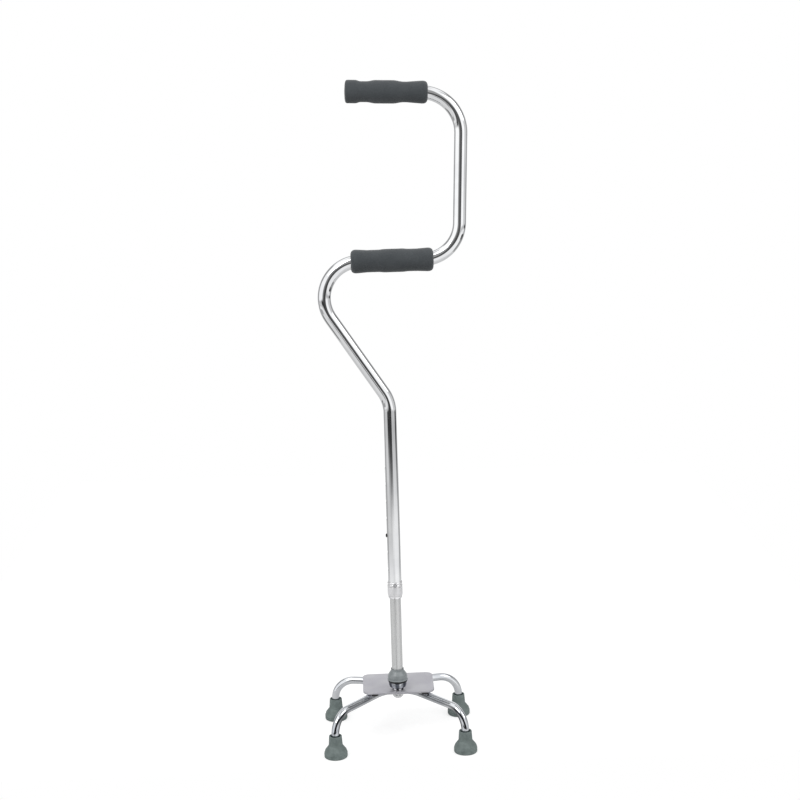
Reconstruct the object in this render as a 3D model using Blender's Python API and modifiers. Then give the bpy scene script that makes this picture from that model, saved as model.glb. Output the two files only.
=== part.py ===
"""Quad cane with two foam grips on one bent tube, a telescoping shaft and a four-footed base.

Metres, +Z up. X runs along the grips, towards the riser that joins them, and the front feet are at -Y.
The origin is on the floor, under the middle of the bounding box.
"""

from math import acos, cos, pi, radians, sin, sqrt, tan

import bmesh
import bpy
from mathutils import Matrix, Vector

# Running and seating clearances
SEAT_GAP = 0.0003
HOLE_CLEARANCE = 0.0003
MOUTH_CLEARANCE = 0.0024
BORE_OVERRUN = 0.0020
EDGE_CHAMFER = 0.0004

# Bent outer tube with its two grips
TUBE_DIAMETER = 0.01905
TUBE_WALL = 0.0013
TUBE_BEND_RADIUS = 0.0505
TUBE_TOP_BEND_RADIUS = 0.0545
TUBE_END_Z = 0.2130
ELBOW_Z = 0.4968
OFFSET_ANGLE = radians(33.2)
LOWER_GRIP_Z = 0.6940
UPPER_GRIP_Z = 0.9184
RISER_X = 0.1013
RISER_LEAN = radians(2.0)

# Grips, placed by their left ends, measured from the shaft's axis
GRIP_END_RADIUS = 0.0156
GRIP_WAIST_RADIUS = 0.0141
GRIP_PALM_RADIUS = 0.0158
GRIP_CORNER_RADIUS = 0.0034
UPPER_GRIP_BEND_CORNER = 0.0075
GRIP_END_SHARE = 0.10
GRIP_WAIST_SHARE = 0.24
GRIP_CAP_THICKNESS = 0.0045
UPPER_GRIP_LEFT_X = -0.0475
UPPER_GRIP_LENGTH = 0.1130
LOWER_GRIP_LEFT_X = -0.0482
LOWER_GRIP_LENGTH = 0.1142
END_PLUG_LENGTH = 0.0120

# Telescoping inner tube with its snap button
INNER_TUBE_WALL = 0.0012
INNER_TUBE_TOP_Z = 0.3640
BUTTON_Z = 0.3016
BUTTON_DIAMETER = 0.0060
BUTTON_HEIGHT = 0.0017
BUTTON_DOME = 0.0014
BUTTON_FLANGE_RADIUS = 0.0038
BUTTON_FLANGE_THICKNESS = 0.0012
HOLE_PITCH = 0.0250
HOLES_ABOVE = 4
HOLES_BELOW = 2
SPRING_THICKNESS = 0.0006
SPRING_WIDTH = 0.0050
SPRING_LENGTH = 0.0300
SPRING_HEAD_BEND = 0.0040
SPRING_KINK_SHARE = 0.3

# Clamp ring, locking nut and split bush at the tube's lower end
COLLAR_RADIUS = 0.01075
CLAMP_RING_HEIGHT = 0.0072
CLAMP_GROOVE_DEPTH = 0.0005
CLAMP_GROOVE_HEIGHT = 0.0012
NUT_COVER = 0.0150
NUT_HEIGHT = 0.0195
NUT_TAPER_HEIGHT = 0.0075
NUT_LIP_HEIGHT = 0.0015
NUT_LIP_RADIUS = 0.0091
SET_SCREW_RADIUS = 0.0015
SET_SCREW_HEAD = 0.0005

# Hub between the inner tube and the base plate
BOOT_TOP_Z = 0.1022
BOOT_TOP_RADIUS = 0.0086
BOOT_RIM_RADIUS = 0.0140
BOOT_HEIGHT = 0.0170
BOOT_RIM_HEIGHT = 0.0024
BOOT_FLARE_POWER = 1.3
HUB_RING_HEIGHT = 0.0022
HUB_RING_RADIUS = 0.0133
CUP_TOP_RADIUS = 0.0130
CUP_SHOULDER_RADIUS = 0.0126
CUP_SHOULDER_HEIGHT = 0.0036
CUP_FOOT_RADIUS = 0.0096
JAM_NUT_FLATS = 0.0155
JAM_NUT_HEIGHT = 0.0032
CUP_SOCKET_DEPTH = 0.0060
STUD_RADIUS = 0.0040
STUD_LENGTH = 0.0370
INSERT_HEIGHT = 0.0180
WASHER_RADIUS = 0.0095
WASHER_THICKNESS = 0.0012
ACORN_FLATS = 0.0150
ACORN_HEX_HEIGHT = 0.0036
ACORN_DOME_HEIGHT = 0.0036
ACORN_DOME_RADIUS = 0.0070
ACORN_DOME_INSET = 0.0001

# Base plate
PLATE_TOP_Z = 0.0703
PLATE_THICKNESS = 0.0030
PLATE_HALF_WIDTH = 0.0505
PLATE_FRONT_Y = -0.0160
PLATE_REAR_Y = 0.0637
PLATE_CORNER_RADIUS = 0.0100

# Legs
LEG_DIAMETER = 0.0111
LEG_WALL = 0.0012
LEG_BEND_RADIUS = 0.0290
FEET_SPACING_X = 0.1839
FEET_SPACING_Y = 0.1409
FRONT_LEG_ANGLE = radians(50.8)
FRONT_APEX_RADIUS = 0.0400
REAR_RAIL_Y = 0.0577
REAR_RAIL_HALF_LENGTH = 0.0320
REAR_KINK_RADIUS = 0.0600

# Rubber feet
FOOT_RADIUS = 0.0163
FOOT_HEIGHT = 0.0316
FOOT_MOUTH_RADIUS = 0.0091
FOOT_NECK_RADIUS = 0.0100
FOOT_NECK_Z = 0.0173
FOOT_SHOULDER_RADIUS = 0.0154
FOOT_SHOULDER_Z = 0.0103
FOOT_SKIRT_Z = 0.0066
FOOT_EDGE_RADIUS = 0.0020
FOOT_FLOOR = 0.0070
DISC_THICKNESS = 0.0015

# Facets
TUBE_SIDES = 16
TURNED_SIDES = 24
LEG_SIDES = 12
BEND_STEP = radians(12)
LEG_BEND_STEP = radians(15)
SPRING_BEND_STEP = radians(30)
HOLE_SIDES = 14
BOOT_FLARE_STEPS = 7

# Sizes that follow from the ones above
NUT_TOP_Z = TUBE_END_Z + NUT_COVER
TUBE_RADIUS = TUBE_DIAMETER / 2
TUBE_BORE_RADIUS = TUBE_RADIUS - TUBE_WALL
INNER_TUBE_RADIUS = TUBE_BORE_RADIUS - SEAT_GAP
INNER_BORE_RADIUS = INNER_TUBE_RADIUS - INNER_TUBE_WALL
BUTTON_RADIUS = BUTTON_DIAMETER / 2
BUTTON_HOLE_RADIUS = BUTTON_RADIUS + HOLE_CLEARANCE
LEG_RADIUS = LEG_DIAMETER / 2
LEG_BORE_RADIUS = LEG_RADIUS - LEG_WALL
PLATE_BOTTOM_Z = PLATE_TOP_Z - PLATE_THICKNESS
LEG_Z = PLATE_BOTTOM_Z - SEAT_GAP - LEG_RADIUS
LEG_END_Z = FOOT_FLOOR + DISC_THICKNESS + 2 * SEAT_GAP
JAM_NUT_FOOT_Z = PLATE_TOP_Z + SEAT_GAP
CUP_FOOT_Z = JAM_NUT_FOOT_Z + JAM_NUT_HEIGHT + SEAT_GAP
BOOT_FOOT_Z = BOOT_TOP_Z - BOOT_HEIGHT
RING_FOOT_Z = BOOT_FOOT_Z - SEAT_GAP - HUB_RING_HEIGHT
CUP_TOP_Z = RING_FOOT_Z - SEAT_GAP
INNER_TUBE_END_Z = CUP_TOP_Z - CUP_SOCKET_DEPTH + SEAT_GAP
STUD_HOLE_RADIUS = STUD_RADIUS + HOLE_CLEARANCE
WASHER_TOP_Z = PLATE_BOTTOM_Z - SEAT_GAP
ACORN_TOP_Z = WASHER_TOP_Z - WASHER_THICKNESS - SEAT_GAP
STUD_END_Z = ACORN_TOP_Z - ACORN_HEX_HEIGHT


def bend_points(before, corner, after, radius, step):
    """Points of the arc of this radius that rounds a corner between two straight runs."""
    back = (before - corner).normalized()
    ahead = (after - corner).normalized()
    opening = acos(max(-1.0, min(1.0, back.dot(ahead))))
    turn = pi - opening
    reach = radius / tan(opening / 2)
    centre = corner + (back + ahead).normalized() * radius / sin(opening / 2)
    first = corner + back * reach - centre
    last = corner + ahead * reach - centre
    count = max(2, round(turn / step))
    points = []
    for index in range(count + 1):
        share = index / count
        blend = (sin((1 - share) * turn) * first + sin(share * turn) * last) / sin(turn)
        points.append(centre + blend)
    return points


def bent_line(corners, radii, step):
    """A line through its corners, each inner corner rounded by its own radius."""
    points = [corners[0]]
    for index, radius in enumerate(radii, start=1):
        points += bend_points(corners[index - 1], corners[index], corners[index + 1], radius, step)
    return points + [corners[-1]]


def lengths_along(points):
    """Distance from the line's first point to each of its points."""
    total = 0.0
    found = [total]
    for before, after in zip(points, points[1:]):
        total += (after - before).length
        found.append(total)
    return found


def point_at(points, distance):
    """The point at this distance along a line, which runs straight on past its ends."""
    stations = lengths_along(points)
    index = 0
    while index < len(points) - 2 and stations[index + 1] < distance:
        index += 1
    run = points[index + 1] - points[index]
    return points[index] + run.normalized() * (distance - stations[index])


def material(name, colour, roughness, metallic=0.0):
    """A Principled material of one colour."""
    made = bpy.data.materials.new(name)
    made.use_nodes = True
    shader = made.node_tree.nodes["Principled BSDF"]
    shader.inputs["Base Color"].default_value = (*colour, 1.0)
    shader.inputs["Roughness"].default_value = roughness
    shader.inputs["Metallic"].default_value = metallic
    made.diffuse_color = (*colour, 1.0)
    return made


def add_object(name, mesh, collection, look=None):
    obj = bpy.data.objects.new(name, mesh)
    collection.objects.link(obj)
    if look:
        mesh.materials.append(look)
    return obj


def smooth(mesh):
    mesh.shade_smooth()
    mesh.set_sharp_from_angle(angle=radians(35))


def swept(name, points, radius, sides, collection, look=None, shares=None):
    """A round bar along a line, as a welded mesh. shares scale its radius point by point."""
    curve = bpy.data.curves.new(name + "_line", "CURVE")
    curve.dimensions = "3D"
    curve.bevel_depth = radius
    curve.bevel_resolution = (sides - 4) // 2
    curve.use_fill_caps = True
    spline = curve.splines.new("POLY")
    spline.points.add(len(points) - 1)
    for index, point in enumerate(points):
        spline.points[index].co = (*point, 1.0)
        spline.points[index].radius = shares[index] if shares else 1.0
    guide = bpy.data.objects.new(name + "_line", curve)
    collection.objects.link(guide)
    mesh = bpy.data.meshes.new_from_object(guide.evaluated_get(bpy.context.evaluated_depsgraph_get()))
    mesh.name = name
    welded = bmesh.new()
    welded.from_mesh(mesh)
    bmesh.ops.remove_doubles(welded, verts=welded.verts, dist=0.00001)
    bmesh.ops.recalc_face_normals(welded, faces=welded.faces)
    welded.to_mesh(mesh)
    welded.free()
    smooth(mesh)
    obj = add_object(name, mesh, collection, look)
    obj.matrix_world = guide.matrix_world
    bpy.data.objects.remove(guide)
    return obj


def turned(name, profile, collection, look=None, sides=TURNED_SIDES, closed=False):
    """A body turned about its own Z axis from (radius, height) pairs that run down its outer side."""
    mesh = bpy.data.meshes.new(name)
    corners = [(radius, 0.0, height) for radius, height in profile]
    edges = [(index, index + 1) for index in range(len(corners) - 1)]
    if closed:
        edges.append((len(corners) - 1, 0))
    mesh.from_pydata(corners, edges, [])
    obj = add_object(name, mesh, collection, look)
    screw = obj.modifiers.new("Turn", "SCREW")
    screw.axis = "Z"
    screw.angle = 2 * pi
    screw.steps = sides
    screw.render_steps = sides
    screw.use_merge_vertices = True
    screw.merge_threshold = 0.00001
    screw.use_smooth_shade = False
    return obj


def cylinder(name, radius, start, end, collection, look=None, sides=TURNED_SIDES):
    """A round bar between two points."""
    axis = end - start
    made = bmesh.new()
    bmesh.ops.create_cone(
        made,
        cap_ends=True,
        segments=sides,
        radius1=radius,
        radius2=radius,
        depth=axis.length,
    )
    turn = axis.to_track_quat("Z", "Y").to_matrix().to_4x4()
    bmesh.ops.transform(made, matrix=Matrix.Translation((start + end) / 2) @ turn, verts=made.verts)
    mesh = bpy.data.meshes.new(name)
    made.to_mesh(mesh)
    made.free()
    smooth(mesh)
    return add_object(name, mesh, collection, look)


def cutter(obj):
    obj.hide_render = True
    obj.display_type = "WIRE"
    return obj


def cut(obj, tool, operation="DIFFERENCE", solver="EXACT"):
    boolean = obj.modifiers.new(tool.name, "BOOLEAN")
    boolean.operation = operation
    boolean.solver = solver
    boolean.object = tool
    return boolean


def arc_profile(centre_radius, centre_height, radius, start, end, count):
    """Points of a profile's arc, from one angle to another, measured from the +X side upwards."""
    points = []
    for index in range(count + 1):
        angle = start + (end - start) * index / count
        points.append((centre_radius + radius * cos(angle), centre_height + radius * sin(angle)))
    return points


def handle_corners():
    """Corners of the bent outer tube's centreline about the shaft's axis, from its lower end to its upper one."""
    hook_x = -(LOWER_GRIP_Z - ELBOW_Z) * tan(OFFSET_ANGLE)
    rise = UPPER_GRIP_Z - LOWER_GRIP_Z
    top_x = RISER_X + rise * tan(RISER_LEAN)
    grip_run = (top_x - UPPER_GRIP_LEFT_X - GRIP_CAP_THICKNESS) / cos(RISER_LEAN)
    return [
        Vector((0, 0, TUBE_END_Z)),
        Vector((0, 0, ELBOW_Z)),
        Vector((hook_x, 0, LOWER_GRIP_Z)),
        Vector((RISER_X, 0, LOWER_GRIP_Z)),
        Vector((top_x, 0, UPPER_GRIP_Z)),
        Vector((top_x, 0, UPPER_GRIP_Z)) + grip_run * Vector((-cos(RISER_LEAN), 0, sin(RISER_LEAN))),
    ]


def handle_line():
    """The bent outer tube's centreline with its four bends."""
    radii = [TUBE_BEND_RADIUS] * 3 + [TUBE_TOP_BEND_RADIUS]
    return bent_line(handle_corners(), radii, BEND_STEP)


def grip_radius(distance, length, first_corner):
    """Radius of a foam grip at a distance from its first end: flared ends, two waists and a palm swell."""
    share = min(distance, length - distance) / length
    corner = first_corner if distance < length / 2 else GRIP_CORNER_RADIUS
    from_end = share * length
    if share < GRIP_END_SHARE:
        radius = GRIP_END_RADIUS
    elif share < GRIP_WAIST_SHARE:
        ease = (1 + cos(pi * (share - GRIP_END_SHARE) / (GRIP_WAIST_SHARE - GRIP_END_SHARE))) / 2
        radius = GRIP_WAIST_RADIUS + (GRIP_END_RADIUS - GRIP_WAIST_RADIUS) * ease
    else:
        ease = (1 + cos(pi * (0.5 - share) / (0.5 - GRIP_WAIST_SHARE))) / 2
        radius = GRIP_WAIST_RADIUS + (GRIP_PALM_RADIUS - GRIP_WAIST_RADIUS) * ease
    if from_end < corner:
        radius -= corner - sqrt(corner**2 - (corner - from_end) ** 2)
    return radius


def grip_distances(length, first_corner):
    """Distances along a grip at which its outline is set, closer together at its rounded ends."""
    found = []
    for corner in (first_corner, GRIP_CORNER_RADIUS):
        rounding = [corner * (1 - cos(turn * pi / 8)) for turn in range(4)]
        found.append(rounding + [corner])
    middle = [GRIP_END_SHARE, (GRIP_END_SHARE + GRIP_WAIST_SHARE) / 2, GRIP_WAIST_SHARE]
    middle += [(GRIP_WAIST_SHARE + 0.5) / 2]
    middle = [share * length for share in middle]
    ends = [length - distance for distance in reversed(found[1])]
    return found[0] + middle + [length / 2] + [length - d for d in reversed(middle)] + ends


def grip(name, first, direction, length, first_corner, collection, look):
    """A straight foam sleeve that runs from its first end in this direction."""
    stations = grip_distances(length, first_corner)
    points = [first + station * direction for station in stations]
    shares = [grip_radius(station, length, first_corner) / GRIP_END_RADIUS for station in stations]
    return swept(name, points, GRIP_END_RADIUS, TUBE_SIDES, collection, look, shares)


def foot_corners():
    half_x = FEET_SPACING_X / 2
    half_y = FEET_SPACING_Y / 2
    return {
        "front_left": Vector((-half_x, -half_y, 0)),
        "front_right": Vector((half_x, -half_y, 0)),
        "rear_left": Vector((-half_x, half_y, 0)),
        "rear_right": Vector((half_x, half_y, 0)),
    }


def front_leg_line():
    """The front tube rises from one foot, runs back to an apex behind the hub and out to the other."""
    feet = foot_corners()
    apex_y = -FEET_SPACING_Y / 2 + FEET_SPACING_X / 2 * tan(FRONT_LEG_ANGLE)
    corners = [
        feet["front_left"] + Vector((0, 0, LEG_END_Z)),
        feet["front_left"] + Vector((0, 0, LEG_Z)),
        Vector((0, apex_y, LEG_Z)),
        feet["front_right"] + Vector((0, 0, LEG_Z)),
        feet["front_right"] + Vector((0, 0, LEG_END_Z)),
    ]
    return bent_line(corners, [LEG_BEND_RADIUS, FRONT_APEX_RADIUS, LEG_BEND_RADIUS], LEG_BEND_STEP)


def rear_leg_line():
    """The rear tube runs straight under the plate's rear edge and splays out to its feet."""
    feet = foot_corners()
    corners = [
        feet["rear_left"] + Vector((0, 0, LEG_END_Z)),
        feet["rear_left"] + Vector((0, 0, LEG_Z)),
        Vector((-REAR_RAIL_HALF_LENGTH, REAR_RAIL_Y, LEG_Z)),
        Vector((REAR_RAIL_HALF_LENGTH, REAR_RAIL_Y, LEG_Z)),
        feet["rear_right"] + Vector((0, 0, LEG_Z)),
        feet["rear_right"] + Vector((0, 0, LEG_END_Z)),
    ]
    radii = [LEG_BEND_RADIUS, REAR_KINK_RADIUS, REAR_KINK_RADIUS, LEG_BEND_RADIUS]
    return bent_line(corners, radii, LEG_BEND_STEP)


def hollow(tube, line, radius, sides, cutters):
    """Bores a tube along its own line, past both ends."""
    ends = [point_at(line, -BORE_OVERRUN), point_at(line, lengths_along(line)[-1] + BORE_OVERRUN)]
    bore = swept(tube.name + "_bore", [ends[0]] + line[1:-1] + [ends[1]], radius, sides, cutters)
    cut(tube, cutter(bore), solver="MANIFOLD")


def build_handle(parts, cutters, looks, shaft):
    line = handle_line()
    tube = swept("handle_tube", line, TUBE_RADIUS, TUBE_SIDES, parts, looks["chrome"])
    hollow(tube, line, TUBE_BORE_RADIUS, TUBE_SIDES, cutters)
    for step in range(-HOLES_BELOW, HOLES_ABOVE + 1):
        height = BUTTON_Z + step * HOLE_PITCH
        hole = cylinder(
            f"button_hole_{step + HOLES_BELOW}",
            BUTTON_HOLE_RADIUS,
            Vector((-2 * TUBE_RADIUS, 0, height)),
            Vector((-TUBE_BORE_RADIUS / 2, 0, height)),
            cutters,
            sides=HOLE_SIDES,
        )
        cut(tube, cutter(hole), solver="MANIFOLD")
    total = lengths_along(line)[-1]
    run = (line[-2] - line[-1]).normalized()
    upper_left = line[-1] - GRIP_CAP_THICKNESS * run
    upper_right = upper_left + UPPER_GRIP_LENGTH * run
    upper = grip(
        "upper_grip",
        upper_right,
        -run,
        UPPER_GRIP_LENGTH,
        UPPER_GRIP_BEND_CORNER,
        parts,
        looks["foam"],
    )
    lower = grip(
        "lower_grip",
        Vector((LOWER_GRIP_LEFT_X, 0, LOWER_GRIP_Z)),
        Vector((1, 0, 0)),
        LOWER_GRIP_LENGTH,
        GRIP_CORNER_RADIUS,
        parts,
        looks["foam"],
    )
    bore_line = line[:-1] + [point_at(line, total + SEAT_GAP)]
    bore = cutter(swept("grip_bore", bore_line, TUBE_RADIUS + SEAT_GAP, TUBE_SIDES, cutters))
    for sleeve in (upper, lower):
        cut(sleeve, bore)
    plug_start = point_at(line, total - END_PLUG_LENGTH)
    plug_end = point_at(line, total)
    plug_radius = TUBE_BORE_RADIUS - SEAT_GAP
    plug = cylinder("tube_end_plug", plug_radius, plug_start, plug_end, parts, looks["black_plastic"])
    for obj in (tube, upper, lower, plug):
        obj.parent = shaft
    return tube


def build_collar(parts, cutters, looks, shaft):
    bore = TUBE_RADIUS + SEAT_GAP
    foot = NUT_TOP_Z + SEAT_GAP
    groove_top = CLAMP_RING_HEIGHT / 2 + CLAMP_GROOVE_HEIGHT / 2
    groove_foot = CLAMP_RING_HEIGHT / 2 - CLAMP_GROOVE_HEIGHT / 2
    groove_radius = COLLAR_RADIUS - CLAMP_GROOVE_DEPTH
    ring = turned(
        "clamp_ring",
        [
            (bore, CLAMP_RING_HEIGHT),
            (COLLAR_RADIUS, CLAMP_RING_HEIGHT),
            (COLLAR_RADIUS, groove_top),
            (groove_radius, groove_top),
            (groove_radius, groove_foot),
            (COLLAR_RADIUS, groove_foot),
            (COLLAR_RADIUS, 0),
            (bore, 0),
        ],
        parts,
        looks["satin"],
        closed=True,
    )
    ring.location.z = foot
    screw_z = foot + CLAMP_RING_HEIGHT / 2
    hole = cylinder(
        "set_screw_hole",
        SET_SCREW_RADIUS + HOLE_CLEARANCE,
        Vector((0, -TUBE_RADIUS, screw_z)),
        Vector((0, -2 * TUBE_RADIUS, screw_z)),
        cutters,
        sides=HOLE_SIDES,
    )
    cut(ring, cutter(hole))
    screw = cylinder(
        "set_screw",
        SET_SCREW_RADIUS,
        Vector((0, -TUBE_RADIUS - SEAT_GAP, screw_z)),
        Vector((0, -COLLAR_RADIUS - SET_SCREW_HEAD, screw_z)),
        parts,
        looks["steel"],
        sides=HOLE_SIDES,
    )
    chamber_z = NUT_HEIGHT
    lip_z = NUT_LIP_HEIGHT
    lip_bore = INNER_TUBE_RADIUS + SEAT_GAP
    nut = turned(
        "locking_nut",
        [
            (bore, chamber_z),
            (COLLAR_RADIUS, chamber_z),
            (COLLAR_RADIUS, NUT_TAPER_HEIGHT),
            (NUT_LIP_RADIUS, 0),
            (lip_bore, 0),
            (lip_bore, lip_z),
            (bore, lip_z),
        ],
        parts,
        looks["satin"],
        closed=True,
    )
    nut.location.z = NUT_TOP_Z - NUT_HEIGHT
    bush_foot = NUT_TOP_Z - NUT_HEIGHT + lip_z + SEAT_GAP
    bush_height = TUBE_END_Z - SEAT_GAP - bush_foot
    bush = turned(
        "tube_bush",
        [
            (lip_bore, bush_height),
            (TUBE_RADIUS, bush_height),
            (TUBE_RADIUS, 0),
            (lip_bore, 0),
        ],
        parts,
        looks["black_plastic"],
        closed=True,
    )
    bush.location.z = bush_foot
    for obj in (ring, screw, nut, bush):
        obj.parent = shaft


def build_shaft(parts, cutters, looks, root):
    height = INNER_TUBE_TOP_Z - INNER_TUBE_END_Z
    inner = turned(
        "inner_tube",
        [
            (INNER_BORE_RADIUS, height),
            (INNER_TUBE_RADIUS, height),
            (INNER_TUBE_RADIUS, 0),
            (INNER_BORE_RADIUS, 0),
        ],
        parts,
        looks["satin"],
        closed=True,
    )
    inner.location.z = INNER_TUBE_END_Z
    hole = cylinder(
        "inner_button_hole",
        BUTTON_HOLE_RADIUS,
        Vector((-2 * INNER_TUBE_RADIUS, 0, BUTTON_Z)),
        Vector((-INNER_BORE_RADIUS / 2, 0, BUTTON_Z)),
        cutters,
        sides=HOLE_SIDES,
    )
    cut(inner, cutter(hole))
    inner.parent = root

    flange_reach = sqrt(INNER_BORE_RADIUS**2 - BUTTON_FLANGE_RADIUS**2) - 2 * SEAT_GAP
    reach = TUBE_RADIUS + BUTTON_HEIGHT
    dome = [(0.0, reach), (0.6 * BUTTON_RADIUS, reach - 0.25 * BUTTON_DOME)]
    button = turned(
        "snap_button",
        dome
        + [
            (BUTTON_RADIUS, reach - BUTTON_DOME),
            (BUTTON_RADIUS, flange_reach),
            (BUTTON_FLANGE_RADIUS, flange_reach),
            (BUTTON_FLANGE_RADIUS, flange_reach - BUTTON_FLANGE_THICKNESS),
            (0.0, flange_reach - BUTTON_FLANGE_THICKNESS),
        ],
        parts,
        looks["dark_steel"],
        sides=HOLE_SIDES,
    )
    button.rotation_euler.y = -pi / 2
    button.location.z = BUTTON_Z
    button.parent = root

    near_x = -(flange_reach - BUTTON_FLANGE_THICKNESS - SEAT_GAP - SPRING_THICKNESS / 2)
    far_x = sqrt(INNER_BORE_RADIUS**2 - (SPRING_WIDTH / 2) ** 2) - SEAT_GAP - SPRING_THICKNESS / 2
    turn_radius = 0.5 * min(far_x, -near_x)
    foot = BUTTON_Z - SPRING_LENGTH
    corners = [
        Vector((near_x, 0, BUTTON_Z + BUTTON_FLANGE_RADIUS)),
        Vector((near_x, 0, BUTTON_Z - BUTTON_FLANGE_RADIUS)),
        Vector((SPRING_KINK_SHARE * near_x, 0, foot)),
        Vector((far_x, 0, foot)),
        Vector((far_x, 0, BUTTON_Z + BUTTON_FLANGE_RADIUS)),
    ]
    line = bent_line(corners, [SPRING_HEAD_BEND, turn_radius / 2, turn_radius / 2], SPRING_BEND_STEP)
    mesh = bpy.data.meshes.new("button_spring")
    strip = bmesh.new()
    edge = [strip.verts.new((point.x, -SPRING_WIDTH / 2, point.z)) for point in line]
    edges = [strip.edges.new(pair) for pair in zip(edge, edge[1:])]
    made = bmesh.ops.extrude_edge_only(strip, edges=edges)
    moved = [item for item in made["geom"] if isinstance(item, bmesh.types.BMVert)]
    bmesh.ops.translate(strip, verts=moved, vec=(0, SPRING_WIDTH, 0))
    strip.to_mesh(mesh)
    strip.free()
    spring = add_object("button_spring", mesh, parts, looks["dark_steel"])
    solidify = spring.modifiers.new("Strip thickness", "SOLIDIFY")
    solidify.thickness = SPRING_THICKNESS
    solidify.offset = 0
    spring.parent = root


def hexagon(name, flats, foot_z, height, collection, look=None):
    """An upright six-sided bar with one corner to the front."""
    foot = Vector((0, 0, foot_z))
    bar = cylinder(name, flats / 2 / cos(pi / 6), foot, foot + Vector((0, 0, height)), collection, look, sides=6)
    bar.data.shade_flat()
    return bar


def build_hub(parts, cutters, looks, root):
    tube_bore = INNER_TUBE_RADIUS + SEAT_GAP
    bell = []
    for index in range(1, BOOT_FLARE_STEPS + 1):
        share = index / BOOT_FLARE_STEPS
        radius = BOOT_TOP_RADIUS + (BOOT_RIM_RADIUS - BOOT_TOP_RADIUS) * sin(pi / 2 * share**BOOT_FLARE_POWER)
        bell.append((radius, BOOT_HEIGHT - share * (BOOT_HEIGHT - BOOT_RIM_HEIGHT)))
    boot = turned(
        "hub_boot",
        [(tube_bore, BOOT_HEIGHT), (BOOT_TOP_RADIUS, BOOT_HEIGHT)]
        + bell
        + [(BOOT_RIM_RADIUS, EDGE_CHAMFER), (BOOT_RIM_RADIUS - EDGE_CHAMFER, 0), (tube_bore, 0)],
        parts,
        looks["grey_plastic"],
        closed=True,
    )
    boot.location.z = BOOT_FOOT_Z
    ring = turned(
        "hub_ring",
        [
            (tube_bore, HUB_RING_HEIGHT),
            (HUB_RING_RADIUS, HUB_RING_HEIGHT),
            (HUB_RING_RADIUS, 0),
            (tube_bore, 0),
        ],
        parts,
        looks["black_plastic"],
        closed=True,
    )
    ring.location.z = RING_FOOT_Z
    cup_height = CUP_TOP_Z - CUP_FOOT_Z
    socket_z = cup_height - CUP_SOCKET_DEPTH
    cup = turned(
        "hub_cup",
        [
            (tube_bore, cup_height),
            (CUP_TOP_RADIUS, cup_height),
            (CUP_SHOULDER_RADIUS, CUP_SHOULDER_HEIGHT),
            (CUP_FOOT_RADIUS, 0),
            (STUD_HOLE_RADIUS, 0),
            (STUD_HOLE_RADIUS, socket_z),
            (tube_bore, socket_z),
        ],
        parts,
        looks["chrome"],
        closed=True,
    )
    cup.location.z = CUP_FOOT_Z
    insert = turned(
        "tube_insert",
        [
            (STUD_HOLE_RADIUS, INSERT_HEIGHT),
            (INNER_BORE_RADIUS - SEAT_GAP, INSERT_HEIGHT),
            (INNER_BORE_RADIUS - SEAT_GAP, 0),
            (STUD_HOLE_RADIUS, 0),
        ],
        parts,
        looks["steel"],
        closed=True,
    )
    insert.location.z = INNER_TUBE_END_Z
    stud = cylinder(
        "hub_stud",
        STUD_RADIUS,
        Vector((0, 0, STUD_END_Z)),
        Vector((0, 0, STUD_END_Z + STUD_LENGTH)),
        parts,
        looks["steel"],
        sides=TURNED_SIDES,
    )
    washer = turned(
        "hub_washer",
        [
            (STUD_HOLE_RADIUS, 0),
            (WASHER_RADIUS, 0),
            (WASHER_RADIUS, -WASHER_THICKNESS),
            (STUD_HOLE_RADIUS, -WASHER_THICKNESS),
        ],
        parts,
        looks["steel"],
        closed=True,
    )
    washer.location.z = WASHER_TOP_Z

    acorn = turned(
        "acorn_nut",
        [(0.0, ACORN_HEX_HEIGHT - ACORN_DOME_INSET)]
        + [(ACORN_DOME_RADIUS, ACORN_HEX_HEIGHT - ACORN_DOME_INSET), (ACORN_DOME_RADIUS, 0)]
        + arc_profile(0, 0, 1, 0, -pi / 2, 6)[1:-1]
        + [(0.0, -ACORN_DOME_HEIGHT)],
        parts,
        looks["chrome"],
    )
    for vertex in acorn.data.vertices[3:-1]:
        vertex.co.x *= ACORN_DOME_RADIUS
        vertex.co.z *= ACORN_DOME_HEIGHT
    acorn.location.z = ACORN_TOP_Z - ACORN_HEX_HEIGHT
    corners = hexagon("acorn_hexagon", ACORN_FLATS, ACORN_TOP_Z - ACORN_HEX_HEIGHT, ACORN_HEX_HEIGHT, cutters)
    cut(acorn, cutter(corners), "UNION")
    thread = cylinder(
        "acorn_thread",
        STUD_HOLE_RADIUS,
        Vector((0, 0, STUD_END_Z - SEAT_GAP)),
        Vector((0, 0, ACORN_TOP_Z + STUD_RADIUS)),
        cutters,
    )
    cut(acorn, cutter(thread))

    jam_nut = hexagon("hub_jam_nut", JAM_NUT_FLATS, JAM_NUT_FOOT_Z, JAM_NUT_HEIGHT, parts, looks["chrome"])
    jam_thread = cylinder(
        "jam_nut_thread",
        STUD_HOLE_RADIUS,
        Vector((0, 0, JAM_NUT_FOOT_Z - BORE_OVERRUN)),
        Vector((0, 0, JAM_NUT_FOOT_Z + JAM_NUT_HEIGHT + BORE_OVERRUN)),
        cutters,
    )
    cut(jam_nut, cutter(jam_thread))
    for obj in (boot, ring, cup, jam_nut, insert, stud, washer, acorn):
        obj.parent = root


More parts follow.
